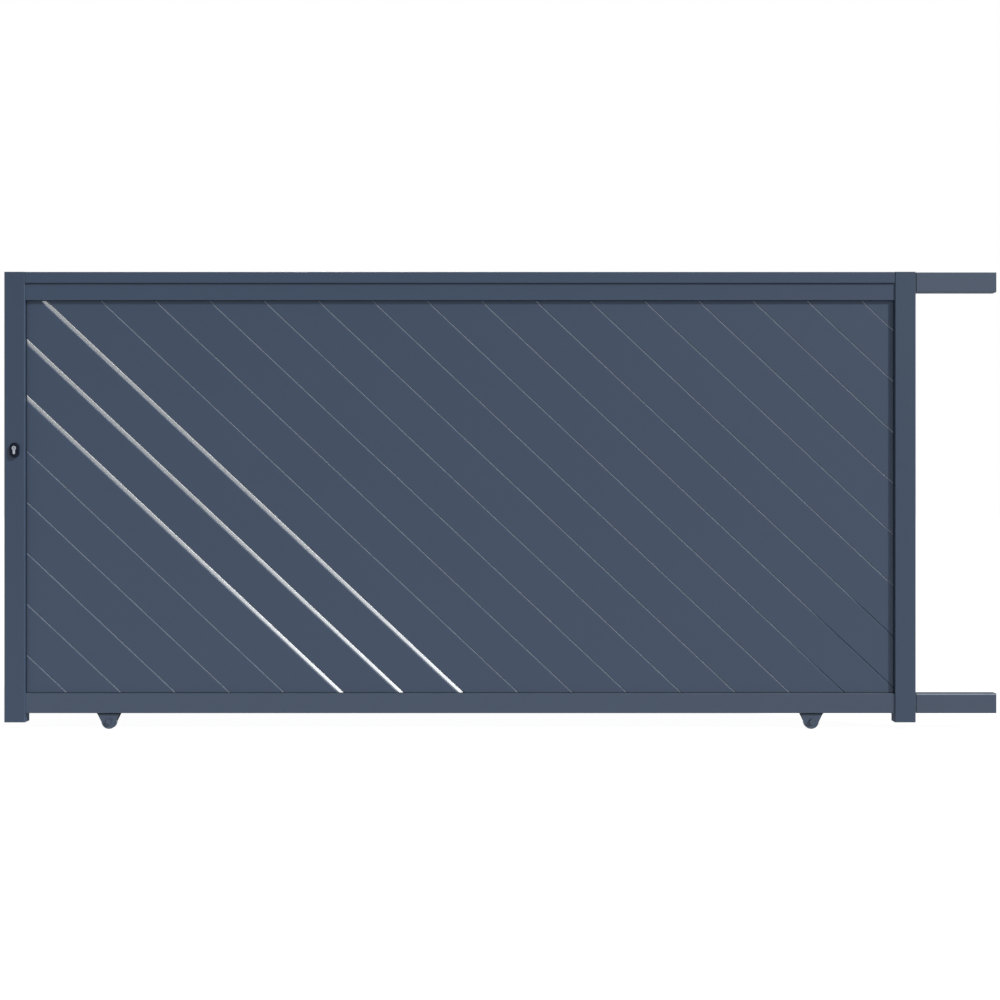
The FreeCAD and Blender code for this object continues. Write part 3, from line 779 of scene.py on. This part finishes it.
class Growth:
    """Geometry Nodes tree with named inputs that is run once and kept as a plain mesh."""

    def __init__(self, name: str) -> None:
        """Start a tree with a geometry input and output."""
        self.tree = bpy.data.node_groups.new(name, "GeometryNodeTree")
        self.tree.interface.new_socket("Geometry", in_out="INPUT", socket_type="NodeSocketGeometry")
        self.tree.interface.new_socket("Geometry", in_out="OUTPUT", socket_type="NodeSocketGeometry")
        self.start = self.tree.nodes.new("NodeGroupInput")
        self.end = self.tree.nodes.new("NodeGroupOutput")

    def named(self, name: str, kind: str) -> Socket:
        """Add a named input of a socket type and hand its socket on."""
        self.tree.interface.new_socket(name, in_out="INPUT", socket_type=kind)
        return self.start.outputs[name]

    def add(self, kind: str, inputs: dict[str, object] | None = None, **settings: object) -> bpy.types.Node:
        """Add a node, set its properties and feed its inputs by name."""
        node = self.tree.nodes.new(kind)
        for key, value in settings.items():
            setattr(node, key, value)
        for key, value in (inputs or {}).items():
            if isinstance(value, bpy.types.NodeSocket):
                self.tree.links.new(value, node.inputs[key])
            else:
                node.inputs[key].default_value = value
        return node

    def close(self, geometry: Socket) -> None:
        """End the tree: instances realised, material set from its named input."""
        material = self.named("Material", "NodeSocketMaterial")
        real = self.add("GeometryNodeRealizeInstances", {"Geometry": geometry})
        dressed = self.add("GeometryNodeSetMaterial", {"Geometry": real.outputs[0], "Material": material})
        self.tree.links.new(dressed.outputs[0], self.end.inputs[0])

    def grow(self, name: str, base: bpy.types.Object, values: dict[str, object]) -> bpy.types.Object:
        """Run the tree on a base object and keep the result as a plain mesh.

        Args:
            name: Name of the new piece.
            base: Object that the tree starts from. It is removed afterwards.
            values: Values of the named inputs.

        Returns:
            The new piece, linked at the origin.
        """
        modifier = base.modifiers.new("grow", "NODES")
        modifier.node_group = self.tree
        for item in self.tree.interface.items_tree:
            if item.in_out == "INPUT" and item.name in values:
                modifier[item.identifier] = values[item.name]
        base.update_tag()
        bpy.context.view_layer.update()
        graph = bpy.context.evaluated_depsgraph_get()
        mesh = bpy.data.meshes.new_from_object(base.evaluated_get(graph), depsgraph=graph)
        base.modifiers.clear()
        bpy.data.objects.remove(base)
        mesh.name = name
        return linked(name, mesh)


def bead_growth() -> Growth:
    """Tree that runs a round bead along a path."""
    growth = Growth("bead_along_path")
    radius = growth.named("Bead Radius", "NodeSocketFloat")
    sides = growth.named("Sides", "NodeSocketInt")
    capped = growth.named("Capped", "NodeSocketBool")
    section = growth.add("GeometryNodeCurvePrimitiveCircle", {"Resolution": sides, "Radius": radius})
    swept = growth.add(
        "GeometryNodeCurveToMesh",
        {
            "Curve": growth.start.outputs["Geometry"],
            "Profile Curve": section.outputs["Curve"],
            "Fill Caps": capped,
        },
    )
    growth.close(swept.outputs[0])
    return growth


def run_bead(
    name: str,
    paths: Sequence[Sequence[Vector]],
    cyclic: bool,
    radius: float,
    material: bpy.types.Material,
) -> bpy.types.Object:
    """Run a round bead along straight-sided paths.

    Args:
        name: Name of the new piece.
        paths: Corners of each path.
        cyclic: Whether each path closes on itself.
        radius: Radius of the bead.
        material: Finish of the bead.

    Returns:
        One mesh with every bead, its faces outwards.
    """
    curve = bpy.data.curves.new(name + "_path", "CURVE")
    curve.dimensions = "3D"
    for corners in paths:
        spline = curve.splines.new("POLY")
        spline.points.add(len(corners) - 1)
        for point, corner in zip(spline.points, corners):
            point.co = (*corner, 1.0)
        spline.use_cyclic_u = cyclic
    base = bpy.data.objects.new(name + "_base", curve)
    bpy.context.scene.collection.objects.link(base)
    values = {"Bead Radius": radius, "Sides": 16, "Capped": not cyclic, "Material": material}
    piece = bead_growth().grow(name, base, values)
    outward(piece.data)
    shaded(piece.data, 50.0)
    return piece


def wheel_growth() -> Growth:
    """Tree that turns a section about an axle."""
    growth = Growth("turned_about_axle")
    radius = growth.named("Turning Radius", "NodeSocketFloat")
    steps = growth.named("Steps", "NodeSocketInt")
    path = growth.add("GeometryNodeCurvePrimitiveCircle", {"Resolution": steps, "Radius": radius})
    swept = growth.add(
        "GeometryNodeCurveToMesh",
        {"Curve": path.outputs["Curve"], "Profile Curve": growth.start.outputs["Geometry"]},
    )
    growth.close(swept.outputs[0])
    return growth


def screw_growth() -> Growth:
    """Tree that sets a screw head at every point, turned by chance about its own axis."""
    growth = Growth("screws_on_points")
    head = growth.named("Head", "NodeSocketObject")
    scale = growth.named("Head Scale", "NodeSocketFloat")
    seed = growth.named("Seed", "NodeSocketInt")
    shape = growth.add("GeometryNodeObjectInfo", {"Object": head})
    aim = growth.add("GeometryNodeInputNamedAttribute", {"Name": "aim"}, data_type="FLOAT_VECTOR")
    facing = growth.add("FunctionNodeAlignRotationToVector", {"Vector": aim.outputs[0]}, axis="Z")
    chance = growth.add("FunctionNodeRandomValue", {"Max": math.pi / 3, "Seed": seed}, data_type="FLOAT")
    spin = growth.add("FunctionNodeAxisAngleToRotation", {"Angle": chance.outputs[1]})
    turned = growth.add(
        "FunctionNodeRotateRotation",
        {"Rotation": facing.outputs[0], "Rotate By": spin.outputs[0]},
        rotation_space="LOCAL",
    )
    placed = growth.add(
        "GeometryNodeInstanceOnPoints",
        {
            "Points": growth.start.outputs["Geometry"],
            "Instance": shape.outputs["Geometry"],
            "Rotation": turned.outputs[0],
            "Scale": scale,
        },
    )
    growth.close(placed.outputs[0])
    return growth


@dataclass(frozen=True)
class SocketScrew:
    """Countersunk or raised screw head with a hexagon socket, made once and set on points."""

    head_radius: float = 4.2 * MM
    rise: float = 0.25 * MM
    skirt: float = 0.9 * MM
    socket_flats: float = 3.0 * MM
    socket_depth: float = 1.3 * MM
    points_round: int = 24

    def head(self, name: str) -> bpy.types.Object:
        """Prototype head about the origin, facing +Z."""
        count = self.points_round
        edge = self.head_radius
        rings = [
            ring(edge * 0.72, -self.skirt, count),
            ring(edge, -0.1 * MM, count),
            ring(edge, 0.0, count),
            ring(edge * 0.93, self.rise * 0.75, count),
            ring(edge * 0.7, self.rise, count),
            hexagon_ring(self.socket_flats * 1.12, self.rise, count),
            hexagon_ring(self.socket_flats, self.rise - 0.15 * MM, count),
            hexagon_ring(self.socket_flats, self.rise - self.socket_depth, count),
            hexagon_ring(self.socket_flats * 0.4, self.rise - self.socket_depth - 0.3 * MM, count),
        ]
        mesh = lofted(name, rings)
        shaded(mesh)
        return linked(name, mesh)

    def set_at(
        self,
        name: str,
        points: Sequence[Vector],
        aim: Vector,
        material: bpy.types.Material,
        seed: int,
    ) -> bpy.types.Object:
        """Set heads at points.

        Args:
            name: Name of the new piece.
            points: Places of the heads' rims.
            aim: Direction that the heads face.
            material: Finish of the heads.
            seed: Seed of the heads' turns.

        Returns:
            One mesh with every head.
        """
        spots = bpy.data.meshes.new(name + "_spots")
        spots.from_pydata([tuple(point) for point in points], [], [])
        direction = spots.attributes.new("aim", "FLOAT_VECTOR", "POINT")
        for item in direction.data:
            item.vector = aim
        prototype = self.head(name + "_head")
        values = {"Head": prototype, "Head Scale": 1.0, "Seed": seed, "Material": material}
        piece = screw_growth().grow(name, linked(name + "_base", spots), values)
        bpy.data.objects.remove(prototype)
        return piece


# ---------------------------------------------------------------- dressing


class SubAssembly:
    """Part of the leaf that builds and dresses its pieces."""

    def dress(self, node: str, material: bpy.types.Material) -> None:
        """Give a carried-over node its finish."""
        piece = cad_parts[node]
        piece.data.materials.clear()
        piece.data.materials.append(material)
        LOG.info("dressed %s with %s", node, material.name)

    def keep(self, piece: bpy.types.Object, body: Body, slot: Slot, replaced: Iterable[str] = ()) -> None:
        """Fix a new piece to a body, hide the nodes it stands for and report it.

        Args:
            piece: The new piece.
            body: Body that it rides on.
            slot: Not used.
            replaced: Nodes that it stands for.
        """
        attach(piece, body.value)
        nodes = list(replaced)
        if nodes:
            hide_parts(*nodes)
        LOG.info("built %s: %d triangles", piece.name, triangles(piece))

    def build(self) -> None:
        """Build and dress every piece."""
        raise NotImplementedError


@dataclass
class LeafFrame(SubAssembly):
    """Stiles, rails, capping with its gaskets, caps, packers and the frame's screws; the black gaskets also paint in
    the shade under the capping's lips.
    """

    # One coat in lighter and darker copies: members and caps differ in colour to paint in how light and shade fall on
    # each.
    stile_coat: PowderCoat = PowderCoat()
    head_coat: PowderCoat = PowderCoat(colour=(0.0323, 0.0534, 0.0924))
    rail_coat: PowderCoat = PowderCoat(colour=(0.0410, 0.0602, 0.0959))
    top_cap: MouldedPlastic = MouldedPlastic(colour=(0.0378, 0.0556, 0.0891))
    foot_cap: MouldedPlastic = MouldedPlastic(colour=(0.0440, 0.0647, 0.1036))
    packer: MouldedPlastic = MouldedPlastic(
        colour=(0.0024, 0.0036, 0.0075),
        greyed=(0.008, 0.010, 0.015),
        roughness=0.7,
        specular=0.2,
    )
    rubber: SealRubber = SealRubber()
    # Size of the gaskets, large enough that they also paint in the shade under the capping's lips.
    gasket_radius: float = 2.3 * MM
    fixing: CoatedFixing = CoatedFixing()
    screw: SocketScrew = SocketScrew()
    screw_spread: float = 24.0 * MM

    def build(self) -> None:
        """Coat the members, finish the mouldings, run the gaskets and set the screws."""
        coats = {
            "leading_stile": self.stile_coat,
            "trailing_stile": self.stile_coat,
            "bottom_rail": self.rail_coat,
            "top_rail": self.head_coat,
            "top_capping": self.head_coat,
        }
        for node, coat in coats.items():
            self.dress(node, coat.make(node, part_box(node)))
        for node, cap in (("stile_top_caps", self.top_cap), ("stile_foot_caps", self.foot_cap)):
            self.dress(node, cap.make(node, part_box(node)))
        self.dress("wheel_packers", self.packer.make("wheel_packers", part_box("wheel_packers")))
        self.run_gaskets()
        self.set_screws()

    def run_gaskets(self) -> None:
        """Black gaskets under both lips of the capping, which also paint in the shade there."""
        low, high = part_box("top_capping")
        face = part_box("top_rail")[1].y
        paths = []
        for side in Face:
            depth = side.value * face
            paths.append([Vector((low.x, depth, low.z)), Vector((high.x, depth, low.z))])
        material = self.rubber.make("capping_gaskets")
        piece = run_bead("capping_gaskets", paths, False, self.gasket_radius, material)
        self.keep(piece, Body.LEAF, Slot.TRIM)

    def set_screws(self) -> None:
        """Screws through the leading stile into the ends of both rails."""
        points = []
        for node in ("bottom_rail", "top_rail"):
            low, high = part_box(node)
            middle = (low.z + high.z) / 2
            points += [Vector((0.0, 0.0, middle + side * self.screw_spread)) for side in (-1, 1)]
        material = self.fixing.make("closing_face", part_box("leading_stile"))
        piece = self.screw.set_at("closing_face_screws", points, Vector((-1, 0, 0)), material, 11)
        self.keep(piece, Body.LEAF, Slot.FIXING)


@dataclass
class Infill(SubAssembly):
    """Diagonal boards, bright inserts and the black seals around the opening, which also paint in the shade in its
    corners.
    """

    angle: float = math.radians(43.2)
    cover: float = 146.6 * MM
    # Size of the seals, large enough that they also paint in the shade along the opening's corners.
    seal_radius: float = 3.4 * MM
    shades: tuple[float, ...] = (0.0, 0.012, -0.010, 0.006, -0.014, 0.009, -0.004)
    insert: BrushedInsert = BrushedInsert()
    rubber: SealRubber = SealRubber()

    def build(self) -> None:
        """Dress every board and insert, and run a seal round both faces."""
        boards = sorted(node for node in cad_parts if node.startswith("board_"))
        for number, node in enumerate(boards):
            shade = self.shades[number * 3 % len(self.shades)]
            coat = BoardCoat(start=self.start_of(node), shade=shade)
            self.dress(node, coat.make(node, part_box(node)))
        for node in sorted(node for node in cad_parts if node.startswith("insert_")):
            self.dress(node, self.insert.make(node, sum(self.flat_of(node)) / 2))
        for face in Face:
            self.run_seal(face)

    def flat_of(self, node: str) -> tuple[float, float]:
        """Span of a strip's flat faces, across the boards."""
        vertices = [v.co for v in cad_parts[node].data.vertices if abs(v.co.y) > 9.9 * MM]
        reaches = [co.x * math.sin(self.angle) + co.z * math.cos(self.angle) for co in vertices]
        return min(reaches), max(reaches)

    def start_of(self, node: str) -> float:
        """Distance across the boards at which a board starts, worked out from its flat faces."""
        low, high = self.flat_of(node)
        if high - low > self.cover * 0.93:
            return low - 2.9 * MM
        return high + 2.9 * MM - self.cover if low < 0.2 else low - 2.9 * MM

    def run_seal(self, face: Face) -> None:
        """Bead in the corner between the boards and the frame, all round one face: a seal that also paints in the shade
        in that corner.
        """
        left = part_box("bottom_rail")[0].x
        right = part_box("bottom_rail")[1].x
        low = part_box("bottom_rail")[1].z
        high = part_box("top_rail")[0].z
        depth = face.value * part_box("board_12")[1].y
        corners = [Vector((x, depth, z)) for x, z in ((left, low), (right, low), (right, high), (left, high))]
        name = face.name.lower() + "_seal"
        piece = run_bead(name, [corners], True, self.seal_radius, self.rubber.make(name))
        self.keep(piece, Body.LEAF, Slot.TRIM)


@dataclass
class Tails(SubAssembly):
    """Tails beyond the trailing stile, with their sleeves and end caps."""

    # Two copies of one coat, of different lightness, to paint in how light falls on each tail.
    top_coat: PowderCoat = TailCoat(colour=(0.0496, 0.0703, 0.1093))
    bottom_coat: PowderCoat = TailCoat(colour=(0.0438, 0.0618, 0.0972), highlight_share=0.9)
    cap: MouldedPlastic = MouldedPlastic()
    sleeve: DarkAnodised = DarkAnodised()

    def build(self) -> None:
        """Finish both tails."""
        for node, coat in (("top_tail", self.top_coat), ("bottom_tail", self.bottom_coat)):
            self.dress(node, coat.make(node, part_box(node)))
        self.dress("tail_sleeves", self.sleeve.make("tail_sleeves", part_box("tail_sleeves")))
        self.dress("tail_end_caps", self.cap.make("tail_end_caps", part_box("tail_end_caps")))


@dataclass
class WheelCarriage(SubAssembly):
    """Folded bracket under the bottom rail with its grooved wheel, axle bolt, nut and screws."""

    side: str
    body: Body
    radius: float = 30.0 * MM
    width: float = 14.0 * MM
    groove_radius: float = 5.0 * MM
    web_width: float = 8.0 * MM
    hub_radius: float = 14.0 * MM
    hub_width: float = 18.0 * MM
    rim_inner: float = 21.0 * MM
    bore: float = 6.05 * MM
    chamfer: float = 0.6 * MM
    steps_round: int = 96
    bolt_radius: float = 6.0 * MM
    bolt_flats: float = 19.0 * MM
    thread_pitch: float = 1.75 * MM
    screw_inset: float = 9.5 * MM
    web_thickness: float = 2.5 * MM
    coat: PowderCoat = BracketCoat()
    steel: TurnedSteel = TurnedSteel()
    fixing: CoatedFixing = CoatedFixing()
    screw: SocketScrew = SocketScrew(head_radius=4.6 * MM, rise=1.9 * MM, skirt=0.3 * MM, socket_flats=3.6 * MM)

    def axle(self) -> Vector:
        """Middle of the wheel."""
        low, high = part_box(self.side + "_wheel")
        return (low + high) / 2

    def build(self) -> None:
        """Build the carriage."""
        node = self.side + "_wheel_bracket"
        self.dress(node, self.coat.make(node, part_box(node)))
        self.turn_wheel()
        self.make_bolt()
        self.make_nut()
        self.set_screws()

    def section(self) -> list[tuple[float, float]]:
        """Closed section of the wheel as radius and depth, with chamfers, groove and bearing shield."""
        cut = self.chamfer
        hub, rim, web = self.hub_width / 2, self.width / 2, self.web_width / 2
        low, high = self.steel.shield_span
        recess = hub - 0.5 * MM
        half = [
            (self.bore, hub - cut / 2),
            (self.bore + cut / 2, hub),
            (low, hub),
            (low, recess),
            (high, recess),
            (high, hub),
            (self.hub_radius - cut, hub),
            (self.hub_radius, hub - cut),
            (self.hub_radius, web + cut),
            (self.hub_radius + cut, web),
            (self.rim_inner - cut, web),
            (self.rim_inner, web + cut),
            (self.rim_inner, rim - cut),
            (self.rim_inner + cut, rim),
            (self.radius - cut, rim),
            (self.radius, rim - cut),
        ]
        groove = []
        for i in range(17):
            turn = math.radians(86 - 86 * i / 8)
            depth = self.groove_radius * math.sin(turn)
            groove.append((self.radius - self.groove_radius * math.cos(turn), depth))
        return half + groove + [(r, -y) for r, y in reversed(half)]

    def turn_wheel(self) -> None:
        """Turn the section about the axle in place of the plain wheel."""
        curve = bpy.data.curves.new("wheel_section", "CURVE")
        curve.dimensions = "3D"
        spline = curve.splines.new("POLY")
        section = self.section()
        spline.points.add(len(section) - 1)
        middle = self.radius / 2
        for point, (radius, depth) in zip(spline.points, section):
            point.co = (radius - middle, depth, 0.0, 1.0)
        spline.use_cyclic_u = True
        base = bpy.data.objects.new("wheel_base", curve)
        bpy.context.scene.collection.objects.link(base)
        name = self.side + "_grooved_wheel"
        centre = self.axle()
        material = self.steel.make(name, centre)
        values = {"Turning Radius": middle, "Steps": self.steps_round, "Material": material}
        piece = wheel_growth().grow(name, base, values)
        stand = Matrix.Translation(centre) @ Matrix.Rotation(math.radians(90), 4, "X")
        piece.data.transform(stand)
        outward(piece.data)
        shaded(piece.data)
        self.keep(piece, self.body, Slot.WHEEL, [self.side + "_wheel"])

    def along_axle(self, mesh: bpy.types.Mesh, start: float) -> None:
        """Turn a mesh made about Z to run along +Y from a depth on the axle."""
        centre = self.axle()
        place = Matrix.Translation((centre.x, start, centre.z)) @ Matrix.Rotation(math.radians(-90), 4, "X")
        mesh.transform(place)

    def make_bolt(self) -> None:
        """Hexagon bolt with a chamfered head, a washer face and a rolled thread at its end."""
        low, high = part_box(self.side + "_axle_bolt")
        bracket_low, bracket_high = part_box(self.side + "_wheel_bracket")
        head = bracket_low.y - low.y
        length = high.y - low.y
        flats = self.bolt_flats
        rings = [
            ring(flats * 0.30, 0.12 * MM),
            ring(flats * 0.45, 0.0),
            ring(flats * 0.475, 0.05 * MM),
            chamfered_ring(flats, 0.05 * MM, -1),
            hexagon_ring(flats, head - 0.5 * MM),
            ring(flats * 0.475, head - 0.5 * MM),
            ring(flats * 0.475, head),
            ring(self.bolt_radius, head),
        ]
        thread_from = bracket_high.y - low.y - 1.0 * MM
        tip = length - 1.0 * MM
        turns = int((tip - thread_from) / self.thread_pitch)
        root = self.bolt_radius - 0.9 * MM
        for i in range(turns):
            base = thread_from + i * self.thread_pitch
            rings.append(ring(self.bolt_radius, base))
            rings.append(ring(root, base + self.thread_pitch * 0.45))
            rings.append(ring(self.bolt_radius, base + self.thread_pitch * 0.9))
        rings.append(ring(self.bolt_radius, tip))
        rings.append(ring(self.bolt_radius - 1.0 * MM, length))
        name = self.side + "_bolt"
        mesh = lofted(name, rings)
        self.along_axle(mesh, low.y)
        shaded(mesh)
        mesh.materials.append(self.fixing.make(name, (low, high)))
        self.keep(linked(name, mesh), Body.LEAF, Slot.FIXING, [self.side + "_axle_bolt"])

    def make_nut(self) -> None:
        """Hexagon nut, chamfered on both faces."""
        low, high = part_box(self.side + "_axle_nut")
        height = high.y - low.y
        flats = self.bolt_flats
        bore = self.bore
        rings = [
            ring(bore + 0.5 * MM, 0.0),
            ring(flats * 0.475, 0.0),
            chamfered_ring(flats, 0.0, -1),
            chamfered_ring(flats, height, 1),
            ring(flats * 0.475, height),
            ring(bore + 0.6 * MM, height),
            ring(bore, height - 0.6 * MM),
            ring(bore, 0.5 * MM),
        ]
        name = self.side + "_nut"
        mesh = lofted(name, rings, closed=True)
        self.along_axle(mesh, low.y)
        shaded(mesh)
        mesh.materials.append(self.fixing.make(name, (low, high)))
        self.keep(linked(name, mesh), Body.LEAF, Slot.FIXING, [self.side + "_axle_nut"])

    def set_screws(self) -> None:
        """Button heads under the bracket's web, one at each end of the wheel's slot."""
        low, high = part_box(self.side + "_wheel_bracket")
        height = high.z - self.web_thickness
        points = [Vector((x, 0.0, height)) for x in (low.x + self.screw_inset, high.x - self.screw_inset)]
        name = self.side + "_bracket_screws"
        material = self.fixing.make(name, (low, high))
        piece = self.screw.set_at(name, points, Vector((0, 0, -1)), material, 23)
        self.keep(piece, Body.LEAF, Slot.FIXING)


@dataclass
class HookLock(SubAssembly):
    """Hook lock in the leading stile: escutcheons, cylinder, faceplate, case and bolt."""

    trim: MouldedPlastic = MouldedPlastic(
        colour=(0.0022, 0.0046, 0.0125),
        greyed=(0.012, 0.016, 0.024),
        roughness=0.5,
        grain_depth=0.006 * MM,
        specular=0.15,
    )
    nickel: SatinNickel = SatinNickel()
    steel: BrushedSteel = BrushedSteel()
    screw: SocketScrew = SocketScrew(head_radius=4.1 * MM, rise=0.0, skirt=1.6 * MM, socket_flats=2.6 * MM)
    screw_inset: float = 12.0 * MM
    cylinder_screw_drop: float = 12.0 * MM

    def build(self) -> None:
        """Finish the lock and set the faceplate's screws."""
        for node in ("front_escutcheon", "back_escutcheon"):
            self.dress(node, self.trim.make(node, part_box(node)))
        self.dress("lock_cylinder", self.nickel.make("lock_cylinder"))
        for node in ("lock_faceplate", "lock_case", "hook_bolt"):
            self.dress(node, self.steel.make(node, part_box(node)))
        self.set_screws()

    def set_screws(self) -> None:
        """Countersunk screws in the faceplate: one near each end and one for the cylinder."""
        low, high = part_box("lock_faceplate")
        middle = (low.z + high.z) / 2
        heights = (low.z + self.screw_inset, middle - self.cylinder_screw_drop, high.z - self.screw_inset)
        points = [Vector((low.x + 0.1 * MM, 0.0, z)) for z in heights]
        material = self.steel.make("faceplate_screws", (low, high))
        piece = self.screw.set_at("faceplate_screws", points, Vector((-1, 0, 0)), material, 5)
        self.keep(piece, Body.LEAF, Slot.LOCK_STEEL)


# ---------------------------------------------------------------- studio


@dataclass
class Studio:
    """Pale floor, plain light and the camera of the photograph's view."""

    camera_place: Point = (1.9493, -4.875, 0.800)
    focal_length: float = 44.43
    sensor: float = 36.0
    sun_direction: Point = (0.65, -0.385, 0.655)
    sun_strength: float = 4.0
    fill_direction: Point = (-0.12, 0.80, 0.59)
    fill_strength: float = 1.3
    ambient: float = 0.55
    reflected_wall: float = 0.45
    reflected_floor: float = 1.38
    reflected_foot: float = 1.75
    reflected_back: float = 0.2
    box_strength: float = 3.0
    floor_half: float = 60.0

    def build(self) -> None:
        """Set up camera, light and floor."""
        bpy.context.scene.view_settings.view_transform = "Standard"
        self.set_camera()
        self.set_lamp("sun", self.sun_direction, self.sun_strength, 2.0)
        self.set_lamp("fill", self.fill_direction, self.fill_strength, 12.0)
        self.set_world()
        self.lay_floor()

    def set_camera(self) -> None:
        """Level camera in front of the leaf."""
        data = bpy.data.cameras.new("camera")
        data.lens = self.focal_length
        data.sensor_width = self.sensor
        camera = bpy.data.objects.new("camera", data)
        bpy.context.scene.collection.objects.link(camera)
        camera.location = self.camera_place
        camera.rotation_euler = (math.radians(90), 0.0, 0.0)
        bpy.context.scene.camera = camera

    def set_lamp(self, name: str, direction: Point, strength: float, spread: float) -> None:
        """Add a distant lamp.

        Args:
            name: Name of the lamp.
            direction: Direction towards the lamp.
            strength: Strength in watts per square metre.
            spread: Width of the lamp in degrees.
        """
        data = bpy.data.lights.new(name, "SUN")
        data.energy = strength
        data.angle = math.radians(spread)
        lamp = bpy.data.objects.new(name, data)
        bpy.context.scene.collection.objects.link(lamp)
        lamp.rotation_euler = Vector(direction).to_track_quat("Z", "Y").to_euler()

    def set_world(self) -> None:
        """White behind the leaf, an even grey for plain light, and a soft room for reflections."""
        world = bpy.data.worlds.new("studio")
        world.use_nodes = True
        world.cycles.sampling_method = "NONE"
        bpy.context.scene.world = world
        tree = world.node_tree
        tree.nodes.clear()

        def add(kind: str, *values: object, **settings: object) -> bpy.types.Node:
            """Add a node and feed its inputs in order."""
            node = tree.nodes.new(kind)
            for key, value in settings.items():
                setattr(node, key, value)
            for socket, value in zip(node.inputs, values):
                if isinstance(value, bpy.types.NodeSocket):
                    tree.links.new(value, socket)
                else:
                    socket.default_value = value
            return node

        def blend(factor: Socket, first: Number, second: Number) -> Socket:
            """Blend of two values."""
            node = add("ShaderNodeMix", factor)
            for socket, value in ((node.inputs[2], first), (node.inputs[3], second)):
                if isinstance(value, bpy.types.NodeSocket):
                    tree.links.new(value, socket)
                else:
                    socket.default_value = value
            return node.outputs[0]

        def step(value: Socket, start: float, end: float, low: float = 0.0, high: float = 1.0) -> Socket:
            """Smooth step between two values."""
            return add("ShaderNodeMapRange", value, start, end, low, high, interpolation_type="SMOOTHSTEP").outputs[0]

        def window(value: Socket, start: float, end: float, soft: float) -> Socket:
            """1 between two values, with soft ends."""
            rising = step(value, start - soft, start + soft)
            falling = step(value, end + soft, end - soft)
            return add("ShaderNodeMath", rising, falling, operation="MULTIPLY").outputs[0]

        direction = add("ShaderNodeSeparateXYZ", add("ShaderNodeTexCoord").outputs["Generated"]).outputs
        rise = add("ShaderNodeMath", direction[2], operation="ARCSINE").outputs[0]
        forward = add("ShaderNodeMath", direction[1], -1.0, operation="MULTIPLY").outputs[0]
        turn = add("ShaderNodeMath", direction[0], forward, operation="ARCTAN2").outputs[0]
        sunk = add("ShaderNodeMapRange", rise, -0.012, -0.146, 0.0, 1.0).outputs[0]
        bent = add("ShaderNodeMath", sunk, 1.6, operation="POWER").outputs[0]
        gain = self.reflected_floor - self.reflected_wall
        wall = add("ShaderNodeMath", bent, gain, self.reflected_wall, operation="MULTIPLY_ADD").outputs[0]
        near = step(rise, -0.146, -0.26, 0.0, self.reflected_foot - self.reflected_floor)
        wall = add("ShaderNodeMath", wall, near).outputs[0]
        behind = step(direction[1], 0.40, 0.80)
        level = window(rise, math.radians(-60), math.radians(50), 0.06)
        wall = blend(add("ShaderNodeMath", behind, level, operation="MULTIPLY").outputs[0], wall, self.reflected_back)
        tall = window(rise, math.radians(33), math.radians(75), 0.02)
        wide = window(turn, math.radians(45), math.radians(125), 0.1)
        box = add("ShaderNodeMath", tall, wide, operation="MULTIPLY").outputs[0]
        room = add("ShaderNodeMath", box, self.box_strength, wall, operation="MULTIPLY_ADD").outputs[0]
        path = add("ShaderNodeLightPath").outputs
        mirrored = add("ShaderNodeMath", path["Is Glossy Ray"], path["Is Transmission Ray"], operation="MAXIMUM").outputs[0]
        plain = blend(mirrored, self.ambient, room)
        seen = blend(path["Is Camera Ray"], plain, 1.0)
        background = add("ShaderNodeBackground", (1.0, 1.0, 1.0, 1.0), seen)
        tree.links.new(background.outputs[0], add("ShaderNodeOutputWorld").inputs["Surface"])

    def lay_floor(self) -> None:
        """White floor at the wheels' lowest point that keeps a faint shadow."""
        height = CAD_BOX[0].z
        half = self.floor_half
        mesh = bpy.data.meshes.new("floor")
        corners = [(x, y, height) for x, y in ((-half, -half), (half, -half), (half, half), (-half, half))]
        mesh.from_pydata(corners, [], [(0, 1, 2, 3)])
        floor = linked("floor", mesh)
        shading = Shading("floor_white")
        path = shading.add("ShaderNodeLightPath").outputs
        seen = shading.math("MAXIMUM", path["Is Camera Ray"], path["Is Transmission Ray"])
        pale = shading.add("ShaderNodeBsdfDiffuse")
        pale.inputs["Color"].default_value = (0.40, 0.40, 0.40, 1.0)
        faint = shading.add("ShaderNodeBsdfDiffuse")
        faint.inputs["Color"].default_value = (0.16, 0.16, 0.16, 1.0)
        glow = shading.add("ShaderNodeEmission")
        glow.inputs["Strength"].default_value = 0.88
        white = shading.add("ShaderNodeAddShader")
        shading.feed(white.inputs[0], faint.outputs[0])
        shading.feed(white.inputs[1], glow.outputs[0])
        mixed = shading.add("ShaderNodeMixShader")
        shading.feed(mixed.inputs[0], seen)
        shading.feed(mixed.inputs[1], pale.outputs[0])
        shading.feed(mixed.inputs[2], white.outputs[0])
        output = shading.add("ShaderNodeOutputMaterial")
        shading.feed(output.inputs["Surface"], mixed.outputs[0])
        mesh.materials.append(shading.material)
        floor.visible_glossy = False


def main() -> None:
    """Build the classes in order and report each piece."""
    logging.basicConfig(level=logging.INFO, format="%(name)s: %(message)s")
    Studio().build()
    assemblies: list[SubAssembly] = [
        LeafFrame(),
        Infill(),
        Tails(),
        WheelCarriage("leading", Body.LEADING_WHEEL),
        WheelCarriage("trailing", Body.TRAILING_WHEEL),
        HookLock(),
    ]
    for assembly in assemblies:
        LOG.info("building %s", type(assembly).__name__)
        assembly.build()


if __name__ == "__main__":
    main()
